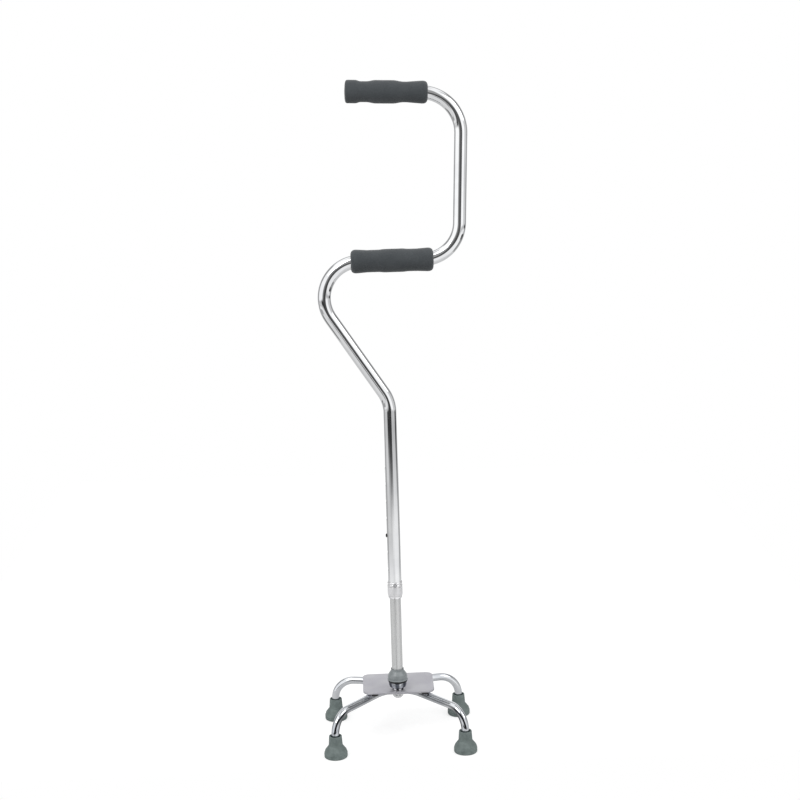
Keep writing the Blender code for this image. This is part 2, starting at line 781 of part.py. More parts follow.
def build_plate(parts, cutters, looks, root):
    curve = bpy.data.curves.new("base_plate_outline", "CURVE")
    curve.dimensions = "2D"
    curve.fill_mode = "BOTH"
    curve.extrude = PLATE_THICKNESS / 2
    corners = [
        Vector((-PLATE_HALF_WIDTH, PLATE_FRONT_Y, 0)),
        Vector((PLATE_HALF_WIDTH, PLATE_FRONT_Y, 0)),
        Vector((PLATE_HALF_WIDTH, PLATE_REAR_Y, 0)),
        Vector((-PLATE_HALF_WIDTH, PLATE_REAR_Y, 0)),
    ]
    outline = []
    for index in range(4):
        before = corners[index - 1]
        after = corners[(index + 1) % 4]
        outline += bend_points(before, corners[index], after, PLATE_CORNER_RADIUS, radians(15))
    spline = curve.splines.new("POLY")
    spline.points.add(len(outline) - 1)
    for index, point in enumerate(outline):
        spline.points[index].co = (*point, 1.0)
    spline.use_cyclic_u = True
    guide = bpy.data.objects.new("base_plate_outline", curve)
    parts.objects.link(guide)
    mesh = bpy.data.meshes.new_from_object(guide.evaluated_get(bpy.context.evaluated_depsgraph_get()))
    mesh.name = "base_plate"
    welded = bmesh.new()
    welded.from_mesh(mesh)
    bmesh.ops.remove_doubles(welded, verts=welded.verts, dist=0.00001)
    bmesh.ops.recalc_face_normals(welded, faces=welded.faces)
    welded.to_mesh(mesh)
    welded.free()
    bpy.data.objects.remove(guide)
    plate = add_object("base_plate", mesh, parts, looks["painted_steel"])
    plate.location.z = PLATE_TOP_Z - PLATE_THICKNESS / 2
    hole = cylinder(
        "stud_hole",
        STUD_HOLE_RADIUS,
        Vector((0, 0, PLATE_BOTTOM_Z - PLATE_THICKNESS)),
        Vector((0, 0, PLATE_TOP_Z + PLATE_THICKNESS)),
        cutters,
    )
    cut(plate, cutter(hole))
    plate.parent = root


def build_legs(parts, cutters, looks, root):
    for name, line in (("front_leg_tube", front_leg_line()), ("rear_leg_tube", rear_leg_line())):
        tube = swept(name, line, LEG_RADIUS, LEG_SIDES, parts, looks["chrome"])
        hollow(tube, line, LEG_BORE_RADIUS, LEG_SIDES, cutters)
        tube.parent = root

    bore = LEG_RADIUS + SEAT_GAP
    sole = arc_profile(FOOT_RADIUS - FOOT_EDGE_RADIUS, FOOT_EDGE_RADIUS, FOOT_EDGE_RADIUS, 0, -pi / 2, 3)
    profile = (
        [
            (bore, FOOT_HEIGHT - MOUTH_CLEARANCE),
            (bore + MOUTH_CLEARANCE / 2, FOOT_HEIGHT),
            (FOOT_MOUTH_RADIUS - EDGE_CHAMFER, FOOT_HEIGHT),
            (FOOT_MOUTH_RADIUS, FOOT_HEIGHT - EDGE_CHAMFER),
            (FOOT_NECK_RADIUS, FOOT_NECK_Z),
            (FOOT_SHOULDER_RADIUS, FOOT_SHOULDER_Z),
            (FOOT_RADIUS, FOOT_SKIRT_Z),
        ]
        + sole
        + [(0.0, 0.0)]
    )
    for place, corner in foot_corners().items():
        foot = turned("foot_" + place, [(0.0, FOOT_FLOOR), (bore, FOOT_FLOOR)] + profile, parts, looks["rubber"])
        foot.location = corner
        foot.parent = root
        disc = cylinder(
            "disc_" + place,
            LEG_RADIUS,
            corner + Vector((0, 0, FOOT_FLOOR + SEAT_GAP)),
            corner + Vector((0, 0, FOOT_FLOOR + SEAT_GAP + DISC_THICKNESS)),
            parts,
            looks["steel"],
            sides=LEG_SIDES,
        )
        disc.parent = root


def main():
    for obj in list(bpy.data.objects):
        bpy.data.objects.remove(obj)
    parts = bpy.data.collections.new("quad_cane")
    cutters = bpy.data.collections.new("cutters")
    for collection in (parts, cutters):
        bpy.context.scene.collection.children.link(collection)

    looks = {
        "chrome": material("chrome", (0.80, 0.81, 0.82), 0.08, 1.0),
        "satin": material("satin_chrome", (0.66, 0.67, 0.68), 0.28, 1.0),
        "steel": material("zinc_steel", (0.52, 0.53, 0.55), 0.35, 1.0),
        "dark_steel": material("dark_spring_steel", (0.06, 0.06, 0.06), 0.45, 0.6),
        "foam": material("foam", (0.070, 0.076, 0.080), 0.90),
        "rubber": material("rubber", (0.150, 0.180, 0.170), 0.75),
        "grey_plastic": material("grey_plastic", (0.25, 0.28, 0.29), 0.45),
        "black_plastic": material("black_plastic", (0.015, 0.015, 0.016), 0.50),
        "painted_steel": material("painted_steel", (0.43, 0.43, 0.46), 0.40, 0.3),
    }

    riser_reach = max(point.x for point in handle_line()) + TUBE_RADIUS
    feet_reach = FEET_SPACING_X / 2 + FOOT_RADIUS
    root = bpy.data.objects.new("base_frame", None)
    shaft = bpy.data.objects.new("handle_frame", None)
    for frame in (root, shaft):
        parts.objects.link(frame)
    root.location.x = (feet_reach - riser_reach) / 2
    shaft.parent = root

    build_handle(parts, cutters, looks, shaft)
    build_collar(parts, cutters, looks, shaft)
    build_shaft(parts, cutters, looks, root)
    build_hub(parts, cutters, looks, root)
    build_plate(parts, cutters, looks, root)
    build_legs(parts, cutters, looks, root)
    for obj in cutters.objects:
        obj.parent = root


main()
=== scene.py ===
"""Looks of a quad cane: a chromed bent tube with two foam grips, a telescoping shaft and a four-footed base.

Metres, +Z up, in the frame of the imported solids. Pieces with a turned shape are drawn about their own axis.
"""

from math import acos, cos, pi, radians, sin, tan

import bmesh
import bpy
from mathutils import Matrix, Vector, noise


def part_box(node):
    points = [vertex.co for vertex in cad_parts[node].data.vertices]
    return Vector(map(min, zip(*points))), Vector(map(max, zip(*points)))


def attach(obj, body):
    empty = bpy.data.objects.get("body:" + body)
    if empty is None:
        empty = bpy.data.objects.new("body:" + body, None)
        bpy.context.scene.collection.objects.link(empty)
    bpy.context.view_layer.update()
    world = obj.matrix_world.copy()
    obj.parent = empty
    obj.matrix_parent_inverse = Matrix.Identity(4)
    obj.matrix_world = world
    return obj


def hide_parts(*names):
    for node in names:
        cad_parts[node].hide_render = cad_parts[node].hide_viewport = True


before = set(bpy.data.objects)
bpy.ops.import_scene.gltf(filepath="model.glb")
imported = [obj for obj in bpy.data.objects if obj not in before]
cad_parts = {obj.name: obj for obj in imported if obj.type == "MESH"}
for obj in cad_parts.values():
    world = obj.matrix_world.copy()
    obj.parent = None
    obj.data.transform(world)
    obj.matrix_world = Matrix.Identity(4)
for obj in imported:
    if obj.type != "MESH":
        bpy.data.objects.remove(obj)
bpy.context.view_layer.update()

MM = 0.001

# Bent outer tube, about the shaft's axis
TUBE_RADIUS = 9.525 * MM
TUBE_WALL = 1.3 * MM
BEND_RADIUS = 50.5 * MM
TOP_BEND_RADIUS = 54.5 * MM
TUBE_END_Z = 213.0 * MM
ELBOW_Z = 496.8 * MM
OFFSET_ANGLE = radians(33.2)
LOWER_GRIP_Z = 694.0 * MM
UPPER_GRIP_Z = 918.4 * MM
RISER_X = 101.3 * MM
RISER_LEAN = radians(2.0)
BUTTON_HOLE_RADIUS = 3.3 * MM
BUTTON_PITCH = 25.0 * MM
BUTTONS_ABOVE = 4
BUTTONS_BELOW = 2

# The clamp ring sits this much lower than its solid, with its set screw at this share of its height
COLLAR_DROP = 1.9 * MM
SCREW_LEVEL = 0.42
SCREW_RADIUS = 1.8 * MM
SCREW_SEAT_RADIUS = 2.5 * MM

# Inner tube
SHAFT_WALL = 1.2 * MM

# Hub. The boot's mouth stands open round the tube, this far above its rim.
BOOT_MOUTH_HEIGHT = 16.8 * MM
CUP_SOCKET_DEPTH = 6.0 * MM
STUD_BORE_RADIUS = 4.3 * MM

# The domed nut's cap hangs this much lower than its solid
ACORN_DROP = 1.6 * MM
ACORN_HEX_HEIGHT = 3.6 * MM
HEX_EDGE_RADIUS = 0.15 * MM

# The plate's front edge lies further back and its right edge further out than the solid's
PLATE_FRONT_INSET = 1.2 * MM
PLATE_RIGHT_REACH = 2.2 * MM
PLATE_REAR_CORNER = 10.0 * MM
PLATE_FRONT_CORNER = 14.0 * MM
PLATE_EDGE_RADIUS = 0.8 * MM

# Weld beads at the plate's front edge, near black as painted shadow of that edge on the leg: left and right
# end in mm, about the shaft's axis
WELD_SHADOWS = {"weld_shadow_left": (-38.5, -29.5), "weld_shadow_right": (33.5, 43.5)}
WELD_RADIUS = 0.9 * MM
WELD_STEPS = 14
WELD_WAVER = 0.25 * MM

# Foam grips
UPPER_GRIP_LEFT_X = -47.5 * MM
UPPER_GRIP_LENGTH = 113.0 * MM
LOWER_GRIP_LEFT_X = -48.2 * MM
LOWER_GRIP_LENGTH = 114.2 * MM
GRIP_CAP_THICKNESS = 4.5 * MM

# The foam's skin ripples this deep, in wide and narrow waves of these lengths
FOAM_RIPPLE = 0.10 * MM
WIDE_RIPPLE = 14 * MM
NARROW_RIPPLE = 6 * MM

# The upper grip is shorter at its open end than its solid and bulges at its closed end. The lower grip lies a
# little lower than its solid.
UPPER_GRIP_INSET = 1.9 * MM
UPPER_GRIP_BULGE = 1.6 * MM
LOWER_GRIP_DROP = 0.4 * MM

# Roundings of each grip's first and last end
UPPER_GRIP_CORNERS = (3.8 * MM, 13.0 * MM)
LOWER_GRIP_CORNERS = (10.0 * MM, 9.0 * MM)

# The grips' level stretches: from and to, as shares of the length, and radius in mm
UPPER_GRIP_FORM = (
    (0.0, 0.115, 15.6),
    (0.185, 0.25, 13.9),
    (0.37, 0.57, 15.6),
    (0.71, 0.79, 13.7),
    (0.85, 1.0, 15.9),
)
LOWER_GRIP_FORM = (
    (0.0, 0.10, 16.9),
    (0.21, 0.33, 15.3),
    (0.42, 0.62, 16.1),
    (0.70, 0.80, 15.4),
    (0.90, 1.0, 16.8),
)

# Legs
LEG_RADIUS = 5.55 * MM
LEG_WALL = 1.2 * MM
LEG_BEND_RADIUS = 29.0 * MM
FRONT_APEX_RADIUS = 40.0 * MM
FRONT_LEG_ANGLE = radians(50.8)
REAR_RAIL_Y = 57.7 * MM
REAR_RAIL_HALF_LENGTH = 32.0 * MM
REAR_KINK_RADIUS = 60.0 * MM
LEG_END_Z = 9.1 * MM

# Feet. Each is this much wider round than its solid, with rings of these radii on its sole.
FOOT_PLACES = ("front_left", "front_right", "rear_left", "rear_right")
FOOT_SWELL = 0.2 * MM
SOLE_RINGS = (4.0 * MM, 7.5 * MM, 11.0 * MM)

# Fineness of the drawn surfaces
TUBE_SIDES = 72
TURNED_SIDES = 96
SMALL_SIDES = 48
HOLE_SIDES = 32
WELD_SIDES = 24
BEND_STEP = radians(2.5)
STRAIGHT_STEP = 12 * MM
FILLET_STEPS = 5
GRIP_STEPS = 80
SHARP_ANGLE = radians(30)
NEARLY_STRAIGHT = radians(177)
SAME_POINT = 0.002 * MM

# Play between a piece and what it sits on
SEAT_GAP = 0.3 * MM

# What bright metal sees round the set, in degrees. Patches are left, right, low, high, softness and
# brightness: 0 is towards the view, + to the right and up.
ROOM_PATCHES = (
    (-185, 185, -95, -14, 1, 0.78),
    (12, 70, -50, -14, 3, 0.98),
    (-124, -97, -95, 40, 4, 0.40),
    (97, 126, -95, 40, 4, 0.32),
    (-140, -97, 16, 45, 4, 0.30),
    (97, 150, 16, 50, 4, 0.20),
    (60, 97, -10, 60, 5, 0.66),
    (-97, -15, -17, -14.3, 1, 0.66),
    (-15, 97, -17, -14.3, 1, 0.92),
    (-97, -20, -21, -17, 1, 0.92),
    (-20, 8, -21, -17, 4, 0.78),
    (8, 75, -21, -17, 3, 1.0),
    (-135, -64, -28, -20.95, 0.5, 0.40),
    (66, 135, -28, -20.95, 0.5, 0.06),
    (-64, 3, -28, -20.95, 2, 0.75),
    (3, 66, -28, -20.95, 2, 1.0),
    (-120, -88, -43, -29, 3, 0.20),
    (75, 97, -45, -26, 3, 0.25),
    (-24, -5, -26, -19.5, 1, 0.08),
    (-97, -50, -14, -9, 2, 0.62),
    (24, 84, -14, -9, 2, 0.55),
    (82, 124, -14, -9, 2, 0.05),
    (-31, -14, -14, 50, 3, 0.28),
    (-50, 0, -14, -8, 2, 0.04),
    (-15, 22, 6, 46, 3, 0.36),
    (-15, 22, 42, 64, 4, 0.62),
    (-15, 22, -14, 9, 2, 0.10),
    (-15, 22, -14, -8, 2, 0.04),
    (-185, 185, 74, 95, 6, 0.5),
)
# Rings round the middle of the white backdrop: inner and outer angle, softness and brightness
BACKDROP_CENTRE = (0, 0.995, -0.1)
BACKDROP_BORDERS = ((42, 66, 4, 0.42),)
WALL_BRIGHTNESS = 1.1

# The room's own light, from its ground to its walls, which fade into each other this near the horizon
GROUND_LIGHT = 0.36
WALL_LIGHT = 0.74
LIGHT_FADE = 0.6

# The floor's left front and right back corner, and its glow as seen and as mirrored in metal
FLOOR = ((-0.75, -0.11), (0.75, 1.6))
SEEN_GLOW = 0.66
MIRRORED_GLOW = 0.22

# Lamps: place, width and power, all aimed at one point
LAMPS = {"left_lamp": ((-1.3, -1.5, 2.3), 1.4, 23), "right_lamp": ((1.6, -0.8, 1.8), 1.2, 10)}
LAMP_TARGET = Vector((0, 0, 0.45))

# Camera: its place from the shaft's foot, how it is turned, and its lens in mm
CAMERA_PLACE = Vector((-0.0514, -2.2311, 0.9402))
CAMERA_YAW = radians(1.695)
CAMERA_PITCH = radians(11.222)
CAMERA_ROLL = radians(1.596)
CAMERA_LENS = 73.08

# The front leg's foot bends carry a painted reflection: a dark streak painted into the chrome's colour,
# where the metal faces 43 degrees off one direction, to the front and inwards. Each pair is where it has
# faded out and where it is full.
PAINTED_STREAK_DIRECTION = (-0.354, -0.884, -0.309)
PAINTED_STREAK_COSINE = 0.733
PAINTED_STREAK_EDGE = (0.15, 0.06)
PAINTED_STREAK_FOOT = (32 * MM, 38 * MM)
PAINTED_STREAK_TOP = (67 * MM, 60 * MM)

# Heights on the locking nut between which its buffed rim fades
BUFFED_RIM = (3.4 * MM, 4.8 * MM)


def linear(colour):
    """An sRGB hex colour as the linear RGBA that a shader takes."""
    found = []
    for start in (1, 3, 5):
        level = int(colour[start : start + 2], 16) / 255
        found.append(level / 12.92 if level <= 0.04045 else ((level + 0.055) / 1.055) ** 2.4)
    return (*found, 1.0)


def add(tree, kind, sockets=None, **settings):
    """Adds a node with its settings, and gives each named socket a value or another node's output."""
    made = tree.nodes.new("ShaderNode" + kind)
    for setting, value in settings.items():
        setattr(made, setting, value)
    for socket, value in (sockets or {}).items():
        if isinstance(value, bpy.types.NodeSocket):
            tree.links.new(value, made.inputs[socket])
        else:
            made.inputs[socket].default_value = value
    return made


def angle_around(tree, place):
    """The angle of a place round the upright axis: nought at the front, growing to the right."""
    across = add(tree, "SeparateXYZ", {"Vector": place}).outputs
    front = add(tree, "Math", {0: across["Y"], 1: -1.0}, operation="MULTIPLY").outputs[0]
    return add(tree, "Math", {0: across["X"], 1: front}, operation="ARCTAN2").outputs[0]


def new_finish(name, roughness, metallic=0.0, **sockets):
    """A material with its shader set. Gives it with its tree, its shader and the place on the piece."""
    made = bpy.data.materials.new(name)
    made.use_nodes = True
    tree = made.node_tree
    shader = tree.nodes["Principled BSDF"]
    shader.inputs["Roughness"].default_value = roughness
    shader.inputs["Metallic"].default_value = metallic
    for socket, value in sockets.items():
        shader.inputs[socket.replace("_", " ")].default_value = value
    return made, tree, shader, add(tree, "TexCoord").outputs["Object"]


def surface(tree, shader, pattern, dark, light, relief, strength, depth, gloss=None):
    """Colours a finish by a pattern, from dark to light, and raises a relief of this depth.

    dark and light are each a share of the pattern and its colour. gloss, where it varies, is the pattern's
    low and high share and the roughness at each.
    """
    tint = add(tree, "ValToRGB", {"Fac": pattern})
    for index, (share, colour) in enumerate((dark, light)):
        tint.color_ramp.elements[index].position = share
        tint.color_ramp.elements[index].color = linear(colour)
    bump = add(tree, "Bump", {"Height": relief, "Strength": strength, "Distance": depth})
    tree.links.new(tint.outputs["Color"], shader.inputs["Base Color"])
    tree.links.new(bump.outputs["Normal"], shader.inputs["Normal"])
    if gloss:
        ends = dict(zip(("From Min", "From Max", "To Min", "To Max"), gloss))
        level = add(tree, "MapRange", {"Value": pattern, **ends})
        tree.links.new(level.outputs["Result"], shader.inputs["Roughness"])


# Materials


def bright_chrome(name, light, dark):
    """Bright chrome plate on polished steel tube: a mirror with soft smears and a faint polishing wave."""
    made, tree, shader, place = new_finish(name, 0.05, 1.0)
    smeared = {"Vector": place, "Scale": 1 / (40 * MM), "Detail": 3.0, "Roughness": 0.6}
    smear = add(tree, "TexNoise", smeared).outputs["Fac"]
    # Polishing leaves waves about 12 mm long and a few microns deep, which bend reflected edges slightly.
    wave = add(tree, "TexNoise", {"Vector": place, "Scale": 1 / (12 * MM), "Detail": 1.0}).outputs["Fac"]
    dark, light = (0.35, dark), (0.65, light)
    gloss = (0.45, 0.75, 0.035, 0.085)
    surface(tree, shader, smear, dark, light, relief=wave, strength=0.02, depth=0.02 * MM, gloss=gloss)
    return made


def chrome_with_painted_streak(name, light, dark, streak):
    """Bright chrome on a tight bend, with a dark streak above each foot painted into its colour: a painted
    reflection of the room's dark side.
    """
    made = bright_chrome(name, light, dark)
    tree = made.node_tree
    shader = tree.nodes["Principled BSDF"]
    plain = shader.inputs["Base Color"].links[0].from_socket
    coordinates = add(tree, "TexCoord").outputs
    place = add(tree, "SeparateXYZ", {"Vector": coordinates["Object"]}).outputs
    height = place["Z"]
    facing = add(tree, "SeparateXYZ", {"Vector": coordinates["Normal"]}).outputs
    side = add(tree, "Math", {0: place["X"]}, operation="SIGN").outputs[0]
    outward = add(tree, "Math", {0: side, 1: facing["X"]}, operation="MULTIPLY").outputs[0]
    tilt = -PAINTED_STREAK_COSINE
    for part, share in zip((outward, facing["Y"], facing["Z"]), PAINTED_STREAK_DIRECTION):
        tilt = add(tree, "Math", {0: part, 1: share, 2: tilt}, operation="MULTIPLY_ADD").outputs[0]
    off = add(tree, "Math", {0: tilt}, operation="ABSOLUTE").outputs[0]
    painted_streak_share = 1.0
    for value, (bare, full) in ((off, PAINTED_STREAK_EDGE), (height, PAINTED_STREAK_FOOT), (height, PAINTED_STREAK_TOP)):
        edge = {"Value": value, "From Min": bare, "From Max": full, "To Max": painted_streak_share}
        painted_streak_share = add(tree, "MapRange", edge).outputs["Result"]
    # Painted reflection: inside the streak the base colour turns to the streak's near black.
    tint = add(tree, "Mix", {0: painted_streak_share, 6: plain, 7: linear(streak)}, data_type="RGBA")
    tree.links.new(tint.outputs[2], shader.inputs["Base Color"])
    return made


def drawn_satin_steel():
    """Satin nickel plate on drawn steel tube: streaks along it blur what it reflects into grey bands."""
    made, tree, shader, place = new_finish("drawn_satin_steel", 0.3, 0.6)
    # Draw lines are about 0.05 mm apart on the real tube. They are drawn 0.5 mm apart to show.
    spacing = (1 / (0.5 * MM), 1 / (0.5 * MM), 1 / (60 * MM))
    lines = add(tree, "Mapping", {"Vector": place, "Scale": spacing}).outputs["Vector"]
    streak = add(tree, "TexNoise", {"Vector": lines, "Scale": 1.0, "Detail": 4.0}).outputs["Fac"]
    dark, light = (0.3, "#D2D3D3"), (0.7, "#E1E2E2")
    gloss = (0.3, 0.7, 0.24, 0.36)
    surface(tree, shader, streak, dark, light, relief=streak, strength=0.15, depth=0.02 * MM, gloss=gloss)
    return made


def turned_metal(name, light, dark, roughness, pitch, metallic=1.0):
    """Plated metal turned on a lathe: rings of fine tool marks round its axis, and a slightly uneven tone."""
    made, tree, shader, place = new_finish(name, roughness, metallic)
    # Tool marks are about 0.1 mm apart on the real piece. Their pitch here is coarser to show.
    spacing = (1 / (40 * MM), 1 / (40 * MM), 1 / pitch)
    rings = add(tree, "Mapping", {"Vector": place, "Scale": spacing}).outputs["Vector"]
    marks = add(tree, "TexNoise", {"Vector": rings, "Scale": 1.0, "Detail": 3.0}).outputs["Fac"]
    surface(tree, shader, marks, (0.3, dark), (0.7, light), relief=marks, strength=0.12, depth=0.02 * MM)
    return made


def buffed_rim(finish, roughness, metallic):
    """The same turned metal with its lower rim buffed bright, where the tool rounded it off."""
    tree = finish.node_tree
    shader = tree.nodes["Principled BSDF"]
    place = add(tree, "SeparateXYZ", {"Vector": add(tree, "TexCoord").outputs["Object"]})
    rim = {"Value": place.outputs["Z"], "From Min": BUFFED_RIM[0], "From Max": BUFFED_RIM[1]}
    for socket, bright in (("Roughness", roughness), ("Metallic", metallic)):
        plain = shader.inputs[socket].default_value
        level = add(tree, "MapRange", {**rim, "To Min": bright, "To Max": plain})
        tree.links.new(level.outputs["Result"], shader.inputs[socket])
    return finish


def chrome_with_painted_bands(name, light, dark, roughness, bands):
    """Chrome plate with a painted reflection: pale and dark bands round it, painted into its colour, stand in
    for the room it mirrors.
    """
    made, tree, shader, place = new_finish(name, roughness, 1.0)
    uneven = add(tree, "TexNoise", {"Vector": place, "Scale": 1 / (5 * MM), "Detail": 2.0}).outputs["Fac"]
    wander = add(tree, "Math", {0: uneven, 1: 1.2}, operation="MULTIPLY").outputs[0]
    turns = {0: angle_around(tree, place), 1: float(bands), 2: wander}
    # The bands are painted reflection, wavering a little with the noise.
    painted_bands = add(tree, "Math", turns, operation="MULTIPLY_ADD").outputs[0]
    wave = add(tree, "Math", {0: painted_bands}, operation="COSINE").outputs[0]
    share = add(tree, "MapRange", {"Value": wave, "From Min": 1.0, "From Max": -1.0}).outputs["Result"]
    surface(tree, shader, share, (0.3, dark), (0.85, light), relief=uneven, strength=0.1, depth=0.02 * MM)
    return made


def skinned_foam():
    """Closed-cell nitrile foam with a ground skin: very matt dark grey, finely pitted, unevenly toned."""
    soft = {"Sheen_Weight": 0.25, "Sheen_Roughness": 0.5, "Specular_IOR_Level": 0.25}
    made, tree, shader, place = new_finish("skinned_foam", 0.92, **soft)
    # Cells of the ground skin are about 0.3 mm. They are drawn at 0.8 mm to show.
    cells = add(tree, "TexVoronoi", {"Vector": place, "Scale": 1 / (0.8 * MM)}, feature="SMOOTH_F1")
    coarse = {"Vector": place, "Scale": 1 / (1.6 * MM), "Detail": 4.0, "Roughness": 0.7}
    grain = add(tree, "TexNoise", coarse).outputs["Fac"]
    patch = add(tree, "TexNoise", {"Vector": place, "Scale": 1 / (25 * MM), "Detail": 3.0}).outputs["Fac"]
    mottle = add(tree, "Mix", {"Factor": 0.45, "A": grain, "B": patch}).outputs["Result"]
    pits = add(tree, "Math", {0: cells.outputs["Distance"], 1: grain}, operation="ADD").outputs[0]
    dark, light = (0.35, "#404447"), (0.65, "#4F5356")
    surface(tree, shader, mottle, dark, light, relief=pits, strength=0.35, depth=0.25 * MM)
    return made


def moulded_rubber():
    """Moulded natural rubber: grey-green and matt, with a soft gloss and a dusty bloom in patches."""
    made, tree, shader, place = new_finish("moulded_rubber", 0.62, Specular_IOR_Level=0.4)
    dusty = {"Vector": place, "Scale": 1 / (9 * MM), "Detail": 5.0, "Roughness": 0.65}
    bloom = add(tree, "TexNoise", dusty).outputs["Fac"]
    # The mould's grit is about 0.3 mm across. It is drawn at 0.7 mm to show.
    grit = add(tree, "TexNoise", {"Vector": place, "Scale": 1 / (0.7 * MM), "Detail": 3.0}).outputs["Fac"]
    dark, light = (0.35, "#616C6A"), (0.68, "#7A8583")
    gloss = (0.3, 0.7, 0.5, 0.75)
    surface(tree, shader, bloom, dark, light, relief=grit, strength=0.2, depth=0.08 * MM, gloss=gloss)
    return made


def moulded_plastic(name, light, dark, roughness):
    """Injection-moulded plastic with a fine spark-eroded grain: even colour, soft broad highlights."""
    made, tree, shader, place = new_finish(name, roughness)
    # The eroded grain is about 0.1 mm across. It is drawn at 0.5 mm to show.
    grain = add(tree, "TexNoise", {"Vector": place, "Scale": 1 / (0.5 * MM), "Detail": 3.0}).outputs["Fac"]
    flow = add(tree, "TexNoise", {"Vector": place, "Scale": 1 / (8 * MM), "Detail": 2.0}).outputs["Fac"]
    surface(tree, shader, flow, (0.35, dark), (0.65, light), relief=grain, strength=0.12, depth=0.03 * MM)
    return made


def powder_coat():
    """Semi-gloss powder coat on steel plate: pale cool grey with a shallow orange peel, 1.5 mm across."""
    made, tree, shader, place = new_finish("powder_coat", 0.38, 0.35)
    cloud = add(tree, "TexNoise", {"Vector": place, "Scale": 1 / (30 * MM), "Detail": 3.0}).outputs["Fac"]
    peel = add(tree, "TexNoise", {"Vector": place, "Scale": 1 / (1.5 * MM), "Detail": 1.0}).outputs["Fac"]
    dark, light = (0.35, "#ACABB3"), (0.65, "#B8B8BD")
    surface(tree, shader, cloud, dark, light, relief=peel, strength=0.12, depth=0.06 * MM)
    return made


# Shapes


def bend_points(before, corner, after, radius):
    """Points of the arc of this radius that rounds a corner between two straight runs."""
    back = (before - corner).normalized()
    ahead = (after - corner).normalized()
    opening = acos(max(-1.0, min(1.0, back.dot(ahead))))
    turn = pi - opening
    reach = radius / tan(opening / 2)
    centre = corner + (back + ahead).normalized() * radius / sin(opening / 2)
    first = corner + back * reach - centre
    last = corner + ahead * reach - centre
    count = max(2, round(turn / BEND_STEP))
    points = []
    for index in range(count + 1):
        share = index / count
        blend = (sin((1 - share) * turn) * first + sin(share * turn) * last) / sin(turn)
        points.append(centre + blend)
    return points


def bent_line(corners, radii):
    """A line through its corners, each inner corner rounded, with stations along its straight runs."""
    coarse = [corners[0]]
    for index, radius in enumerate(radii, start=1):
        coarse += bend_points(corners[index - 1], corners[index], corners[index + 1], radius)
    coarse.append(corners[-1])
    line = [coarse[0]]
    for before, after in zip(coarse, coarse[1:]):
        count = max(1, round((after - before).length / STRAIGHT_STEP))
        line += [before.lerp(after, index / count) for index in range(1, count + 1)]
    return line


def stand(name, data):
    """Puts an object with this mesh, camera or lamp in the scene."""
    obj = bpy.data.objects.new(name, data)
    bpy.context.scene.collection.objects.link(obj)
    return obj


def mesh_object(name, made):
    """Turns a bmesh into a smooth-shaded object that keeps its sharp edges."""
    bmesh.ops.recalc_face_normals(made, faces=made.faces)
    mesh = bpy.data.meshes.new(name)
    made.to_mesh(mesh)
    made.free()
    mesh.shade_smooth()
    mesh.set_sharp_from_angle(angle=SHARP_ANGLE)
    return stand(name, mesh)


def rings_along(made, line, radius, sides):
    """Rings of points square to a line, carried along it without twist."""
    side = None
    rings = []
    for index, point in enumerate(line):
        ahead = line[min(index + 1, len(line) - 1)] - line[max(index - 1, 0)]
        ahead.normalize()
        if side is None:
            side = ahead.cross(Vector((0.3, 1, 0.1))).normalized()
        side = (side - side.dot(ahead) * ahead).normalized()
        other = ahead.cross(side)
        ring = []
        for step in range(sides):
            turn = 2 * pi * step / sides
            ring.append(made.verts.new(point + radius * (cos(turn) * side + sin(turn) * other)))
        rings.append(ring)
    return rings


def skin(made, rings, capped=False):
    """Faces between neighbouring rings, and across the first and last one."""
    for first, second in zip(rings, rings[1:]):
        for step in range(len(first)):
            after = (step + 1) % len(first)
            made.faces.new((first[step], first[after], second[after], second[step]))
    if capped:
        made.faces.new(rings[0])
        made.faces.new(rings[-1])


def tube(name, line, radius, wall):
    """A bent tube with its bore and cut ends."""
    made = bmesh.new()
    outer = rings_along(made, line, radius, TUBE_SIDES)
    inner = rings_along(made, line, radius - wall, TUBE_SIDES)
    skin(made, outer)
    skin(made, inner)
    skin(made, [outer[0], inner[0]])
    skin(made, [outer[-1], inner[-1]])
    return mesh_object(name, made)


def bar(name, line, radius, sides=TUBE_SIDES):
    """A solid round bar along a line."""
    made = bmesh.new()
    skin(made, rings_along(made, line, radius, sides), capped=True)
    return mesh_object(name, made)


def filleted(outline, closed):
    """Rounds each (radius, height, fillet) corner of a turned outline."""
    count = len(outline)
    points = []
    for index, (radius, height, fillet) in enumerate(outline):
        corner = Vector((radius, height))
        if fillet == 0 or (not closed and index in (0, count - 1)):
            points.append(corner)
            continue
        before = Vector(outline[index - 1][:2])
        after = Vector(outline[(index + 1) % count][:2])
        back = (before - corner).normalized()
        ahead = (after - corner).normalized()
        opening = acos(max(-1.0, min(1.0, back.dot(ahead))))
        if opening > NEARLY_STRAIGHT:
            points.append(corner)
            continue
        shorter = min((before - corner).length, (after - corner).length)
        reach = min(fillet / tan(opening / 2), 0.49 * shorter)
        for step in range(FILLET_STEPS + 1):
            share = step / FILLET_STEPS
            inward = (1 - share) ** 2 * (corner + back * reach) + 2 * share * (1 - share) * corner
            points.append(inward + share**2 * (corner + ahead * reach))
    return points


def turned(name, outline, place=(0, 0, 0), closed=True, sides=TURNED_SIDES):
    """A piece turned about its own Z axis from (radius, height, fillet) corners, with its foot at a place."""
    made = bmesh.new()
    rings = []
    for radius, height in filleted(outline, closed):
        ring = []
        for step in range(sides):
            turn = 2 * pi * step / sides
            ring.append(made.verts.new((radius * cos(turn), radius * sin(turn), height)))
        rings.append(ring)
    skin(made, rings + [rings[0]] if closed else rings)
    bmesh.ops.remove_doubles(made, verts=made.verts, dist=SAME_POINT)
    piece = mesh_object(name, made)
    piece.location = place
    return piece


